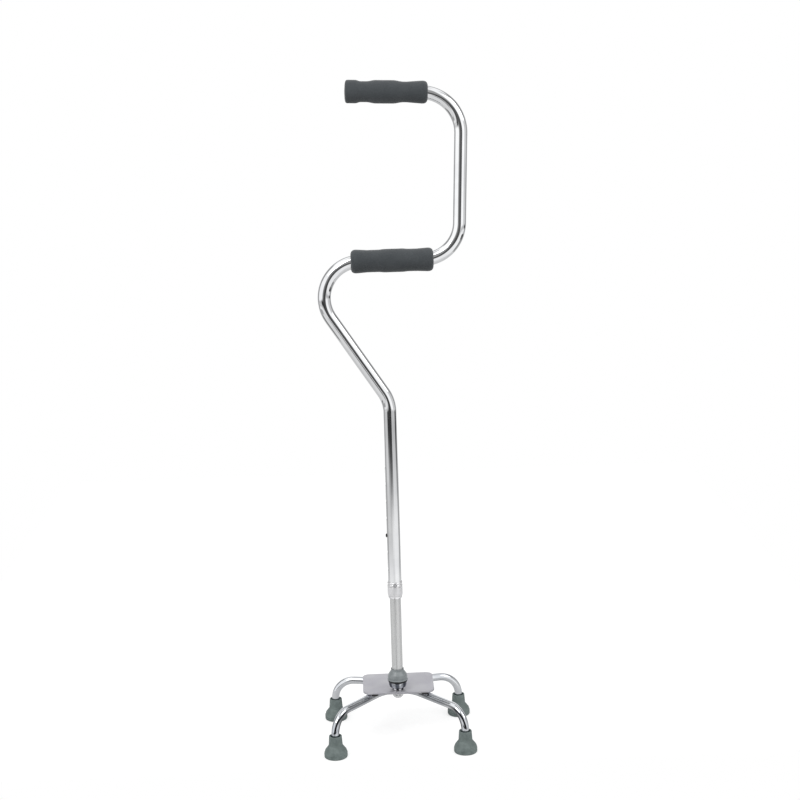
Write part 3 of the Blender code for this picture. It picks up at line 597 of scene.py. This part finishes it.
def prism(name, corners, height, edge):
    """An upright bar with a flat-sided outline, and its long and short edges eased."""
    made = bmesh.new()
    foot = [made.verts.new((x, y, 0)) for x, y in corners]
    top = [made.verts.new((x, y, height)) for x, y in corners]
    skin(made, [foot, top], capped=True)
    bmesh.ops.bevel(
        made, geom=made.edges[:], offset=edge, segments=3, profile=0.5, affect="EDGES", clamp_overlap=True
    )
    return mesh_object(name, made)


def join(obj, tool, operation):
    """Cuts or joins one mesh by another, which is then removed."""
    boolean = obj.modifiers.new("join", "BOOLEAN")
    boolean.operation = operation
    boolean.solver = "EXACT"
    boolean.object = tool
    bpy.context.view_layer.update()
    result = bpy.data.meshes.new_from_object(obj.evaluated_get(bpy.context.evaluated_depsgraph_get()))
    obj.modifiers.clear()
    obj.data = result
    result.shade_smooth()
    result.set_sharp_from_angle(angle=SHARP_ANGLE)
    bpy.data.objects.remove(tool)


def dress(obj, look, body, slot, *nodes):
    """Gives a piece its finish and body, and hides the solids that it stands for."""
    obj.data.materials.clear()
    obj.data.materials.append(look)
    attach(obj, body)
    if nodes:
        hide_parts(*nodes)


def raised(point, height):
    """The place this high above a point."""
    return point + Vector((0, 0, height))


def measured(node):
    """The level at which a solid begins, its width and its height."""
    low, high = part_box(node)
    return low.z, high.x - low.x, high.z - low.z


def axis_foot(node):
    """The point of the floor under the middle of a solid."""
    low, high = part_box(node)
    return Vector(((low.x + high.x) / 2, (low.y + high.y) / 2, 0))


# Pieces


def handle_line(shaft):
    """Centreline of the bent outer tube, from its lower end to its upper one."""
    hook_x = -(LOWER_GRIP_Z - ELBOW_Z) * tan(OFFSET_ANGLE)
    rise = UPPER_GRIP_Z - LOWER_GRIP_Z
    top_x = RISER_X + rise * tan(RISER_LEAN)
    grip_run = (top_x - UPPER_GRIP_LEFT_X - GRIP_CAP_THICKNESS) / cos(RISER_LEAN)
    corners = [
        Vector((0, 0, TUBE_END_Z)),
        Vector((0, 0, ELBOW_Z)),
        Vector((hook_x, 0, LOWER_GRIP_Z)),
        Vector((RISER_X, 0, LOWER_GRIP_Z)),
        Vector((top_x, 0, UPPER_GRIP_Z)),
        Vector((top_x, 0, UPPER_GRIP_Z)) + grip_run * Vector((-cos(RISER_LEAN), 0, sin(RISER_LEAN))),
    ]
    line = bent_line(corners, [BEND_RADIUS] * 3 + [TOP_BEND_RADIUS])
    return [shaft + point for point in line]


def grip_outline(length, form, bulge, corners):
    """Outline of a foam grip from its first end to its last, as (radius, distance, fillet) corners."""
    first_corner, last_corner = corners
    form = [(end, radius * MM) for start, stop, radius in form for end in (start, stop)]
    first_radius = form[0][1]
    outline = [(0.0, -bulge, 0.0), (first_radius, 0.0, first_corner)]
    if bulge:
        outline.insert(1, (0.6 * first_radius, -0.7 * bulge, 4.0 * MM))
    for index in range(1, GRIP_STEPS):
        share = index / GRIP_STEPS
        if share * length < 2.2 * first_corner or (1 - share) * length < 2.2 * last_corner:
            continue
        after = next(place for place in range(1, len(form)) if form[place][0] >= share)
        low, high = form[after - 1], form[after]
        part = (share - low[0]) / (high[0] - low[0])
        ease = (1 - cos(pi * part)) / 2
        outline.append((low[1] + (high[1] - low[1]) * ease, share * length, 0.0))
    return outline + [(form[-1][1], length, last_corner), (0.0, length, 0.0)]


def grip(name, first, direction, outline, bore):
    """A foam sleeve from its first end along a direction, with a slightly uneven skin, bored for the tube."""
    sleeve = turned(name, outline, closed=False)
    for vertex in sleeve.data.vertices:
        around = Vector((vertex.co.x, vertex.co.y, 0))
        if around.length > TUBE_RADIUS:
            swell = noise.noise(vertex.co / WIDE_RIPPLE) + 0.5 * noise.noise(vertex.co / NARROW_RIPPLE)
            vertex.co += around.normalized() * FOAM_RIPPLE * swell
    turn = direction.to_track_quat("Z", "Y").to_matrix().to_4x4()
    sleeve.data.transform(Matrix.Translation(first) @ turn)
    join(sleeve, stand("bore_tool", bore.data.copy()), "DIFFERENCE")
    return sleeve


def cut_button_hole(pipe, shaft, radius, height):
    """Bores the left wall of an upright tube for the snap button."""
    start = shaft + Vector((-2 * radius, 0, height))
    end = shaft + Vector((-radius / 2, 0, height))
    join(pipe, bar("hole_tool", [start, end], BUTTON_HOLE_RADIUS, HOLE_SIDES), "DIFFERENCE")


def make_handle(looks, shaft):
    """The bent tube with its row of button holes, and its two foam grips."""
    line = handle_line(shaft)
    pipe = tube("bent_tube", line, TUBE_RADIUS, TUBE_WALL)
    button_low, button_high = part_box("snap_button")
    button_z = (button_low.z + button_high.z) / 2
    for step in range(-BUTTONS_BELOW, BUTTONS_ABOVE + 1):
        cut_button_hole(pipe, shaft, TUBE_RADIUS, button_z + step * BUTTON_PITCH)
    dress(pipe, looks["chrome"], "handle", "chrome_tube", "handle_tube")

    run = (line[-2] - line[-1]).normalized()
    upper_left = line[-1] - GRIP_CAP_THICKNESS * run
    bore_end = line[-1] - SEAT_GAP * run
    bore = bar("bore_tool", line[:-1] + [bore_end], TUBE_RADIUS + SEAT_GAP)
    length = UPPER_GRIP_LENGTH - UPPER_GRIP_INSET
    shape = grip_outline(length, UPPER_GRIP_FORM, UPPER_GRIP_BULGE, UPPER_GRIP_CORNERS)
    upper = grip("upper_foam_grip", upper_left, run, shape, bore)
    dress(upper, looks["foam"], "handle", "foam", "upper_grip")
    shape = grip_outline(LOWER_GRIP_LENGTH, LOWER_GRIP_FORM, 0.0, LOWER_GRIP_CORNERS)
    lower_left = shaft + Vector((LOWER_GRIP_LEFT_X, 0, LOWER_GRIP_Z - LOWER_GRIP_DROP))
    lower = grip("lower_foam_grip", lower_left, Vector((1, 0, 0)), shape, bore)
    dress(lower, looks["foam"], "handle", "foam", "lower_grip")
    bpy.data.objects.remove(bore)


def make_clamp_ring(looks, shaft):
    """The clamp ring with its two beads, bored at the front for its set screw."""
    level, width, height = measured("clamp_ring")
    radius = width / 2
    bore = TUBE_RADIUS + SEAT_GAP
    bead = 0.9 * MM
    ring = turned(
        "clamp_ring_beads",
        [
            (bore, 0, 0.2 * MM),
            (radius, 0, bead),
            (radius, SCREW_LEVEL * height, bead),
            (radius - bead, 0.5 * height, 0.3 * MM),
            (radius - bead, 0.56 * height, 0.3 * MM),
            (radius, 0.64 * height, bead),
            (radius, 0.92 * height, bead),
            (radius - bead, height, 0.3 * MM),
            (bore, height, 0.3 * MM),
        ],
        raised(shaft, level - COLLAR_DROP),
    )
    screw_z = level - COLLAR_DROP + SCREW_LEVEL * height
    front = shaft + Vector((0, -radius - 2 * MM, screw_z))
    back = shaft + Vector((0, -bore, screw_z))
    join(ring, bar("screw_tool", [front, back], SCREW_SEAT_RADIUS, HOLE_SIDES), "DIFFERENCE")
    dress(ring, looks["ring_chrome"], "handle", "satin_chrome", "clamp_ring")
    make_set_screw(looks, shaft + Vector((0, -radius, screw_z)), radius - bore)


def make_set_screw(looks, face, wall):
    """The clamp ring's set screw in the ring's face and wall, and the dark seat round it."""
    depth = wall + 2 * SEAT_GAP
    screw = turned(
        "socket_set_screw",
        [
            (0, -depth, 0),
            (SCREW_RADIUS, -depth, 0.1 * MM),
            (SCREW_RADIUS, 0, 0.5 * MM),
            (0.75 * SCREW_RADIUS, 0.1 * MM, 0.2 * MM),
            (0.45 * SCREW_RADIUS, 0.1 * MM, 0.1 * MM),
            (0.4 * SCREW_RADIUS, -0.5 * MM, 0),
            (0, -0.5 * MM, 0),
        ],
        closed=False,
        sides=SMALL_SIDES,
    )
    seat = turned(
        "set_screw_seat",
        [
            (SCREW_RADIUS + 0.1 * MM, -depth, 0),
            (SCREW_SEAT_RADIUS - 0.1 * MM, -depth, 0),
            (SCREW_SEAT_RADIUS - 0.1 * MM, -0.1 * MM, 0.3 * MM),
            (SCREW_RADIUS + 0.1 * MM, 0, 0.3 * MM),
        ],
        sides=SMALL_SIDES,
    )
    for piece in (screw, seat):
        piece.location = face + Vector((0, -0.3 * MM, 0))
        piece.rotation_euler.x = pi / 2
    dress(screw, looks["screw_zinc"], "handle", "zinc_steel", "set_screw")
    dress(seat, looks["dark_oxide"], "handle", "zinc_steel")


def make_locking_nut(looks, shaft):
    """The locking nut: a smooth sleeve up to the clamp ring, tapered below, with a lip inside."""
    level, width, height = measured("locking_nut")
    radius = width / 2
    height -= COLLAR_DROP
    bore = TUBE_RADIUS + SEAT_GAP
    lip_bore = TUBE_RADIUS - TUBE_WALL
    nut = turned(
        "locking_nut_sleeve",
        [
            (bore, height, 0.3 * MM),
            (radius, height, 0.6 * MM),
            (radius, 6.2 * MM, 3.0 * MM),
            (9.6 * MM, 2.6 * MM, 0.8 * MM),
            (8.9 * MM, 2.1 * MM, 0.3 * MM),
            (8.9 * MM, 0, 0.5 * MM),
            (lip_bore, 0, 0.3 * MM),
            (lip_bore, 1.5 * MM, 0),
            (bore, 1.5 * MM, 0),
        ],
        raised(shaft, level),
    )
    dress(nut, looks["satin_chrome"], "locking_nut", "satin_chrome", "locking_nut")


def make_shaft(looks, shaft):
    """The inner tube, and the snap button in its left wall."""
    level, width, height = measured("inner_tube")
    radius = width / 2
    pipe = turned(
        "inner_tube_drawn",
        [
            (radius - SHAFT_WALL, 0, 0.2 * MM),
            (radius, 0, 0.4 * MM),
            (radius, height, 0.4 * MM),
            (radius - SHAFT_WALL, height, 0.2 * MM),
        ],
        raised(shaft, level),
    )
    button_low, button_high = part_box("snap_button")
    button_z = (button_low.z + button_high.z) / 2
    cut_button_hole(pipe, shaft, radius, button_z)
    dress(pipe, looks["satin_steel"], "base", "satin_tube", "inner_tube")

    reach = button_high.x - button_low.x
    head = BUTTON_HOLE_RADIUS - SEAT_GAP
    flange = (button_high.z - button_low.z) / 2
    button = turned(
        "snap_button_domed",
        [
            (0, reach, 0),
            (0.45 * head, reach - 0.05 * MM, 0.8 * MM),
            (head, reach - 1.3 * MM, 1.6 * MM),
            (head, 1.2 * MM, 0.2 * MM),
            (flange, 1.2 * MM, 0.2 * MM),
            (flange, 0, 0.2 * MM),
            (0, 0, 0),
        ],
        (button_high.x, shaft.y, button_z),
        closed=False,
        sides=SMALL_SIDES,
    )
    button.rotation_euler.y = -pi / 2
    dress(button, looks["black_oxide"], "snap_button", "spring_steel", "snap_button")


def hexagon(flats):
    """Corners of a hexagon with one to the front."""
    reach = flats / 2 / cos(pi / 6)
    return [(reach * sin(turn * pi / 3), -reach * cos(turn * pi / 3)) for turn in range(6)]


def bore_for_stud(piece, shaft, node):
    """Bores a piece for the stud, right through the height of its solid."""
    level, _, height = measured(node)
    ends = [raised(shaft, level - MM), raised(shaft, level + height + MM)]
    join(piece, bar("stud_tool", ends, STUD_BORE_RADIUS, SMALL_SIDES), "DIFFERENCE")


def make_hub(looks, shaft):
    """The boot and sealing ring round the inner tube, and the cup that it stands in."""
    bore = measured("inner_tube")[1] / 2 + SEAT_GAP
    boot = turned(
        "bell_boot",
        [
            (bore, 0, 0),
            (14.0 * MM, 0, 0.3 * MM),
            (14.9 * MM, 0.4 * MM, 0.3 * MM),
            (14.9 * MM, 1.1 * MM, 0.4 * MM),
            (13.7 * MM, 1.8 * MM, 0.3 * MM),
            (14.0 * MM, 5.0 * MM, 3.0 * MM),
            (13.2 * MM, 8.6 * MM, 3.0 * MM),
            (10.9 * MM, 11.8 * MM, 2.0 * MM),
            (9.4 * MM, 13.6 * MM, 1.0 * MM),
            (9.1 * MM, BOOT_MOUTH_HEIGHT, 0.2 * MM),
            (8.85 * MM, BOOT_MOUTH_HEIGHT, 0.1 * MM),
            (bore + 0.2 * MM, 9.0 * MM, 0.5 * MM),
            (bore, 5.0 * MM, 0),
        ],
        raised(shaft, measured("hub_boot")[0]),
    )
    dress(boot, looks["grey_plastic"], "base", "grey_plastic", "hub_boot")

    level, _, height = measured("hub_ring")
    outline = [(bore, 0, 0), (14.0 * MM, 0, 0.8 * MM), (14.0 * MM, height, 0.8 * MM), (bore, height, 0)]
    ring = turned("sealing_ring", outline, raised(shaft, level))
    dress(ring, looks["black_nylon"], "base", "black_plastic", "hub_ring")

    level, _, height = measured("hub_cup")
    cup = turned(
        "tapered_cup",
        [
            (bore, height, 0.2 * MM),
            (13.4 * MM, height, 0.5 * MM),
            (13.0 * MM, 4.6 * MM, 3.0 * MM),
            (12.1 * MM, 1.4 * MM, 1.5 * MM),
            (10.6 * MM, 0, 0.4 * MM),
            (STUD_BORE_RADIUS, 0, 0.2 * MM),
            (STUD_BORE_RADIUS, height - CUP_SOCKET_DEPTH, 0),
            (bore, height - CUP_SOCKET_DEPTH, 0),
        ],
        raised(shaft, level),
    )
    dress(cup, looks["cup_chrome"], "base", "chrome_cup", "hub_cup")


def make_fastening(looks, shaft):
    """The jam nut above the plate, and the washer and domed nut below it."""
    level, flats, height = measured("hub_jam_nut")
    nut = prism("jam_nut_hex", hexagon(flats), height, HEX_EDGE_RADIUS)
    nut.location = raised(shaft, level)
    bpy.context.view_layer.update()
    reach = flats / 2 / cos(pi / 6)
    cone = turned(
        "chamfer_tool",
        [
            (0, -0.01 * MM, 0),
            (flats / 2 - 0.1 * MM, -0.01 * MM, 0),
            (reach + 0.2 * MM, 0.75 * MM, 0),
            (reach + 0.2 * MM, height - 0.75 * MM, 0),
            (flats / 2 - 0.1 * MM, height + 0.01 * MM, 0),
            (0, height + 0.01 * MM, 0),
        ],
        nut.location,
        closed=False,
    )
    join(nut, cone, "INTERSECT")
    bore_for_stud(nut, shaft, "hub_jam_nut")
    dress(nut, looks["nut_chrome"], "base", "chrome_cup", "hub_jam_nut")

    level, width, height = measured("hub_washer")
    washer = turned(
        "plain_washer",
        [
            (STUD_BORE_RADIUS, 0, 0.1 * MM),
            (width / 2, 0, 0.35 * MM),
            (width / 2, height, 0.35 * MM),
            (STUD_BORE_RADIUS, height, 0.1 * MM),
        ],
        raised(shaft, level),
    )
    dress(washer, looks["zinc"], "base", "zinc_steel", "hub_washer")

    level, flats, height = measured("acorn_nut")
    dome = height - ACORN_HEX_HEIGHT + ACORN_DROP
    acorn = prism("acorn_nut_hex", hexagon(flats), ACORN_HEX_HEIGHT, HEX_EDGE_RADIUS)
    acorn.location = raised(shaft, level + height - ACORN_HEX_HEIGHT)
    bpy.context.view_layer.update()
    middle = 0.5 * ACORN_HEX_HEIGHT
    outline = [(0, middle, 0), (0.5 * flats, middle, 0), (0.5 * flats, 0, 0.3 * MM)]
    for step in range(12):
        turn = step * pi / 24
        outline.append((0.49 * flats * cos(turn), -dome * sin(turn), 0))
    cap = turned("cap_tool", outline + [(0, -dome, 0)], acorn.location, closed=False)
    join(acorn, cap, "UNION")
    dress(acorn, looks["ring_chrome"], "base", "chrome_cup", "acorn_nut")


def make_plate(looks, shaft):
    """The base plate: rounded corners, eased edges and the stud's hole."""
    low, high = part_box("base_plate")
    low = low + Vector((0, PLATE_FRONT_INSET, 0))
    high = high + Vector((PLATE_RIGHT_REACH, 0, 0))
    rear = PLATE_REAR_CORNER
    front = PLATE_FRONT_CORNER
    outline = []
    for x, y, corner, start in (
        (high.x - rear, high.y - rear, rear, 0),
        (low.x + rear, high.y - rear, rear, 90),
        (low.x + front, low.y + front, front, 180),
        (high.x - front, low.y + front, front, 270),
    ):
        for turn in range(0, 91, 5):
            angle = radians(start + turn)
            outline.append((x + corner * cos(angle), y + corner * sin(angle)))
    edge = PLATE_EDGE_RADIUS
    turns = [pi / 2 * step / 4 for step in range(5)]
    profile = [(edge * (1 - sin(turn)), low.z + edge * (1 - cos(turn))) for turn in turns]
    profile += [(edge * (1 - cos(turn)), high.z - edge * (1 - sin(turn))) for turn in turns]
    middle = (low + high) / 2
    half = (high - low) / 2
    made = bmesh.new()
    rings = []
    for inset, level in profile:
        scale_x = (half.x - inset) / half.x
        scale_y = (half.y - inset) / half.y
        ring = []
        for x, y in outline:
            place = (middle.x + (x - middle.x) * scale_x, middle.y + (y - middle.y) * scale_y, level)
            ring.append(made.verts.new(place))
        rings.append(ring)
    skin(made, rings, capped=True)
    plate = mesh_object("coated_plate", made)
    bore_for_stud(plate, shaft, "base_plate")
    dress(plate, looks["powder_coat"], "base", "painted_steel", "base_plate")


def leg_lines(shaft):
    """Centrelines of the front and the rear leg tube."""
    leg_z = measured("base_plate")[0] - SEAT_GAP - LEG_RADIUS
    down = {place: raised(axis_foot("foot_" + place), LEG_END_Z) for place in FOOT_PLACES}
    up = {place: raised(axis_foot("foot_" + place), leg_z) for place in FOOT_PLACES}
    reach_x = (up["front_right"].x - up["front_left"].x) / 2
    apex_y = up["front_left"].y + reach_x * tan(FRONT_LEG_ANGLE)
    apex = Vector((shaft.x, apex_y, leg_z))
    rail = [Vector((shaft.x + side * REAR_RAIL_HALF_LENGTH, REAR_RAIL_Y, leg_z)) for side in (-1, 1)]
    front = [down["front_left"], up["front_left"], apex, up["front_right"], down["front_right"]]
    rear = [down["rear_left"], up["rear_left"], *rail, up["rear_right"], down["rear_right"]]
    return (
        bent_line(front, [LEG_BEND_RADIUS, FRONT_APEX_RADIUS, LEG_BEND_RADIUS]),
        bent_line(rear, [LEG_BEND_RADIUS, REAR_KINK_RADIUS, REAR_KINK_RADIUS, LEG_BEND_RADIUS]),
    )


def make_legs(looks, shaft):
    """The front leg tube, a V under the plate, and the rear one, straight under its back edge."""
    front, rear = leg_lines(shaft)
    pipe = tube("front_leg_bent", front, LEG_RADIUS, LEG_WALL)
    dress(pipe, looks["front_leg_chrome"], "base", "chrome_leg", "front_leg_tube")
    pipe = tube("rear_leg_bent", rear, LEG_RADIUS, LEG_WALL)
    dress(pipe, looks["leg_chrome"], "base", "chrome_leg", "rear_leg_tube")


def make_weld_shadows(looks, shaft):
    """Weld beads where the front leg leaves the plate's front edge, near black as painted shadow under that
    edge.
    """
    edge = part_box("base_plate")[0] + Vector((0, PLATE_FRONT_INSET, 0))
    for name, (left, right) in WELD_SHADOWS.items():
        line = []
        for step in range(WELD_STEPS + 1):
            share = step / WELD_STEPS
            x = shaft.x + (left + (right - left) * share) * MM
            sag = WELD_WAVER * noise.noise(Vector((x / (1.5 * MM), 0, 0)))
            line.append(Vector((x, edge.y - WELD_RADIUS, edge.z + 0.1 * MM + sag)))
        bead = bar(name, line, WELD_RADIUS, WELD_SIDES)
        dress(bead, looks["weld_painted_shadow"], "base", "zinc_steel")


def make_feet(looks):
    """The four rubber feet, pushed on the leg tubes, with rings on their soles."""
    bore = LEG_RADIUS + SEAT_GAP
    sole = []
    for ring in reversed(SOLE_RINGS):
        sole += [
            (ring + 0.7 * MM, 0, 0.15 * MM),
            (ring + 0.5 * MM, 0.7 * MM, 0.1 * MM),
            (ring - 0.5 * MM, 0.7 * MM, 0.1 * MM),
            (ring - 0.7 * MM, 0, 0.15 * MM),
        ]
    for place in FOOT_PLACES:
        level, width, height = measured("foot_" + place)
        radius = width / 2 + FOOT_SWELL
        foot = turned(
            "rubber_" + place,
            [
                (0, 7.0 * MM, 0),
                (bore, 7.0 * MM, 0.2 * MM),
                (bore, height - 7.0 * MM, 0.2 * MM),
                (bore + 1.3 * MM, height - 6.6 * MM, 0.2 * MM),
                (bore + 1.5 * MM, height - 0.3 * MM, 0.3 * MM),
                (8.3 * MM, height, 0.3 * MM),
                (9.0 * MM, height - 0.3 * MM, 0.6 * MM),
                (9.1 * MM, height - 1.6 * MM, 0.8 * MM),
                (10.0 * MM, 17.5 * MM, 1.6 * MM),
                (15.2 * MM, 10.6 * MM, 1.6 * MM),
                (radius, 6.8 * MM, 2.4 * MM),
                (radius, 5.2 * MM, 0.5 * MM),
                (radius - 0.25 * MM, 4.8 * MM, 0.3 * MM),
                (radius, 4.4 * MM, 0.5 * MM),
                (radius, 0, 2.0 * MM),
            ]
            + sole
            + [(0, 0, 0)],
            raised(axis_foot("foot_" + place), level),
            closed=False,
        )
        dress(foot, looks["rubber"], "base", "rubber", "foot_" + place)


def dress_solids(looks):
    """Finishes of the solids that are shown as they are, inside or under the drawn pieces."""
    worn = {
        "tube_end_plug": "black_nylon",
        "tube_bush": "black_nylon",
        "button_spring": "black_oxide",
        "tube_insert": "zinc",
        "hub_stud": "zinc",
    }
    worn.update({"disc_" + place: "zinc" for place in FOOT_PLACES})
    for node, look in worn.items():
        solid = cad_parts[node]
        solid.data.materials.clear()
        solid.data.materials.append(looks[look])


# Studio


def set_camera(shaft):
    """The photograph's view: a long lens, a little above the upper grip, looking down at the base."""
    yaw, pitch, roll = CAMERA_YAW, CAMERA_PITCH, CAMERA_ROLL
    ahead = Vector((sin(yaw) * cos(pitch), cos(yaw) * cos(pitch), -sin(pitch)))
    level = Vector((cos(yaw), -sin(yaw), 0))
    above = level.cross(ahead)
    right = cos(roll) * level - sin(roll) * above
    up = sin(roll) * level + cos(roll) * above
    data = bpy.data.cameras.new("view")
    data.sensor_width = 36
    data.lens = CAMERA_LENS
    data.clip_start = 0.05
    camera = stand("view", data)
    camera.matrix_world = Matrix((right, up, -ahead)).transposed().to_4x4()
    camera.matrix_world.translation = shaft + CAMERA_PLACE
    bpy.context.scene.camera = camera


def window(tree, value, low, high, soft):
    """One between two angles in degrees and nought beyond them, with soft edges."""
    inside = 1.0
    for outer, inner in ((low - soft, low + soft), (high + soft, high - soft)):
        ends = {"From Min": radians(outer), "From Max": radians(inner), "To Max": inside}
        step = add(tree, "MapRange", {"Value": value, **ends}, interpolation_type="SMOOTHSTEP")
        inside = step.outputs["Result"]
    return inside


def shown_by_ray(tree, lit, mirrored, seen):
    """One shader for the light that falls on things, one for what metal mirrors and one for the view."""
    rays = add(tree, "LightPath").outputs
    shiny = add(tree, "Math", {0: rays["Is Glossy Ray"], 1: rays["Is Transmission Ray"]}, operation="MAXIMUM")
    around = add(tree, "MixShader", {0: shiny.outputs[0], 1: lit.outputs[0], 2: mirrored.outputs[0]})
    every = add(tree, "MixShader", {0: rays["Is Camera Ray"], 1: around.outputs[0], 2: seen.outputs[0]})
    return every.outputs[0]


def set_room():
    """A white room. Metal also sees what stands round a studio set, such as a dark side and a table edge."""
    world = bpy.data.worlds.new("white_room")
    bpy.context.scene.world = world
    world.use_nodes = True
    tree = world.node_tree
    tree.nodes.clear()
    place = add(tree, "TexCoord").outputs["Generated"]
    around = angle_around(tree, place)
    upward = add(tree, "SeparateXYZ", {"Vector": place}).outputs["Z"]
    height = add(tree, "Math", {0: upward}, operation="ARCSINE").outputs[0]
    facing = add(tree, "VectorMath", {0: place, 1: BACKDROP_CENTRE}, operation="DOT_PRODUCT")
    behind = add(tree, "Math", {0: facing.outputs["Value"]}, operation="ARCCOSINE").outputs[0]
    tone = WALL_BRIGHTNESS
    for left, right, low, high, soft, shade in ROOM_PATCHES:
        wide = window(tree, around, left, right, soft)
        tall = window(tree, height, low, high, soft)
        patch = add(tree, "Math", {0: wide, 1: tall}, operation="MULTIPLY").outputs[0]
        tone = add(tree, "Mix", {"Factor": patch, "A": tone, "B": shade}).outputs["Result"]
    for inner, outer, soft, shade in BACKDROP_BORDERS:
        border = window(tree, behind, inner, outer, soft)
        tone = add(tree, "Mix", {"Factor": border, "A": tone, "B": shade}).outputs["Result"]
    # The ground of the room is darker than its walls, so undersides come out a little darker.
    ends = {"From Min": -LIGHT_FADE, "From Max": LIGHT_FADE, "To Min": GROUND_LIGHT, "To Max": WALL_LIGHT}
    light = add(tree, "MapRange", {"Value": upward, **ends})
    white = linear("#FFFFFF")
    lit = add(tree, "Background", {"Color": white, "Strength": light.outputs["Result"]})
    mirrored = add(tree, "Background", {"Color": white, "Strength": tone})
    seen = add(tree, "Background", {"Color": white, "Strength": 1.0})
    add(tree, "OutputWorld", {"Surface": shown_by_ray(tree, lit, mirrored, seen)})


def set_floor():
    """Matt white paper that keeps the cane's shadow. It ends before the front feet, at the table's edge."""
    made = bmesh.new()
    (left, front), (right, back) = FLOOR
    corners = [(left, front, 0), (right, front, 0), (right, back, 0), (left, back, 0)]
    made.faces.new([made.verts.new(corner) for corner in corners])
    floor = mesh_object("paper_floor", made)
    paper = bpy.data.materials.new("white_paper")
    paper.use_nodes = True
    tree = paper.node_tree
    tree.nodes.clear()
    lit = add(tree, "BsdfDiffuse", {"Color": linear("#EFEFEF")})
    dim_sheet = add(tree, "BsdfDiffuse", {"Color": linear("#B4B4B4")})
    glowing = []
    for strength in (MIRRORED_GLOW, SEEN_GLOW):
        glow = add(tree, "Emission", {"Color": linear("#FFFFFF"), "Strength": strength})
        glowing.append(add(tree, "AddShader", {0: dim_sheet.outputs[0], 1: glow.outputs[0]}))
    add(tree, "OutputMaterial", {"Surface": shown_by_ray(tree, lit, *glowing)})
    floor.data.materials.append(paper)


def set_lamps():
    """One large soft lamp over the left front and a weaker one at the right."""
    for name, (place, width, power) in LAMPS.items():
        data = bpy.data.lights.new(name, "AREA")
        data.size = width
        data.energy = power
        lamp = stand(name, data)
        lamp.location = place
        lamp.rotation_euler = (LAMP_TARGET - Vector(place)).to_track_quat("-Z", "Y").to_euler()


shaft_foot = axis_foot("inner_tube")
looks = {
    "chrome": bright_chrome("bright_chrome_tube", "#F2F3F4", "#E6E7E9"),
    "leg_chrome": bright_chrome("bright_chrome_legs", "#EEF0F2", "#D2D5DA"),
    # The front legs' chrome is tinted darker than the rear legs' and carries a painted reflection streak.
    "front_leg_chrome": chrome_with_painted_streak("bright_chrome_front_legs_painted_reflection", "#E4E6E9", "#C0C4CA", "#17181B"),
    "satin_steel": drawn_satin_steel(),
    "satin_chrome": buffed_rim(
        turned_metal("satin_chrome_sleeve", "#F0F0F2", "#E8E8EA", 0.30, 0.4 * MM, 0.3), 0.08, 1.0
    ),
    # The cup's and the jam nut's pale and dark bands are painted reflections.
    "cup_chrome": chrome_with_painted_bands("cup_chrome_painted_reflection", "#C2C5CB", "#5C6069", 0.16, 7),
    "nut_chrome": chrome_with_painted_bands("nut_chrome_painted_reflection", "#FCFCFD", "#35353A", 0.2, 6),
    "ring_chrome": turned_metal("ring_chrome", "#F4F4F5", "#EAEAEC", 0.2, 0.4 * MM, 0.75),
    "zinc": turned_metal("zinc_plated_steel", "#A9ABB0", "#8E9096", 0.34, 0.4 * MM),
    # The weld beads' near-black colour is painted shadow of the plate's front edge.
    "weld_painted_shadow": turned_metal("weld_steel_painted_shadow", "#2E2C2C", "#1B1A1B", 0.5, 0.8 * MM, 0.6),
    "screw_zinc": turned_metal("zinc_screw_face", "#D6D7DA", "#C6C7CA", 0.35, 0.4 * MM, 0.6),
    "dark_oxide": turned_metal("dark_oxide_steel", "#7E7E80", "#6A6A6C", 0.45, 0.5 * MM, 0.5),
    "black_oxide": turned_metal("black_oxide_steel", "#3A3A3A", "#262626", 0.4, 0.5 * MM),
    "foam": skinned_foam(),
    "rubber": moulded_rubber(),
    "grey_plastic": moulded_plastic("grey_abs", "#8F9597", "#858B8D", 0.32),
    "black_nylon": moulded_plastic("black_nylon", "#17181A", "#101112", 0.38),
    "powder_coat": powder_coat(),
}
make_handle(looks, shaft_foot)
make_clamp_ring(looks, shaft_foot)
make_locking_nut(looks, shaft_foot)
make_shaft(looks, shaft_foot)
make_hub(looks, shaft_foot)
make_fastening(looks, shaft_foot)
make_plate(looks, shaft_foot)
make_legs(looks, shaft_foot)
make_weld_shadows(looks, shaft_foot)
make_feet(looks)
dress_solids(looks)
set_camera(shaft_foot)
set_room()
set_floor()
set_lamps()
bpy.context.scene.view_settings.view_transform = "Standard"
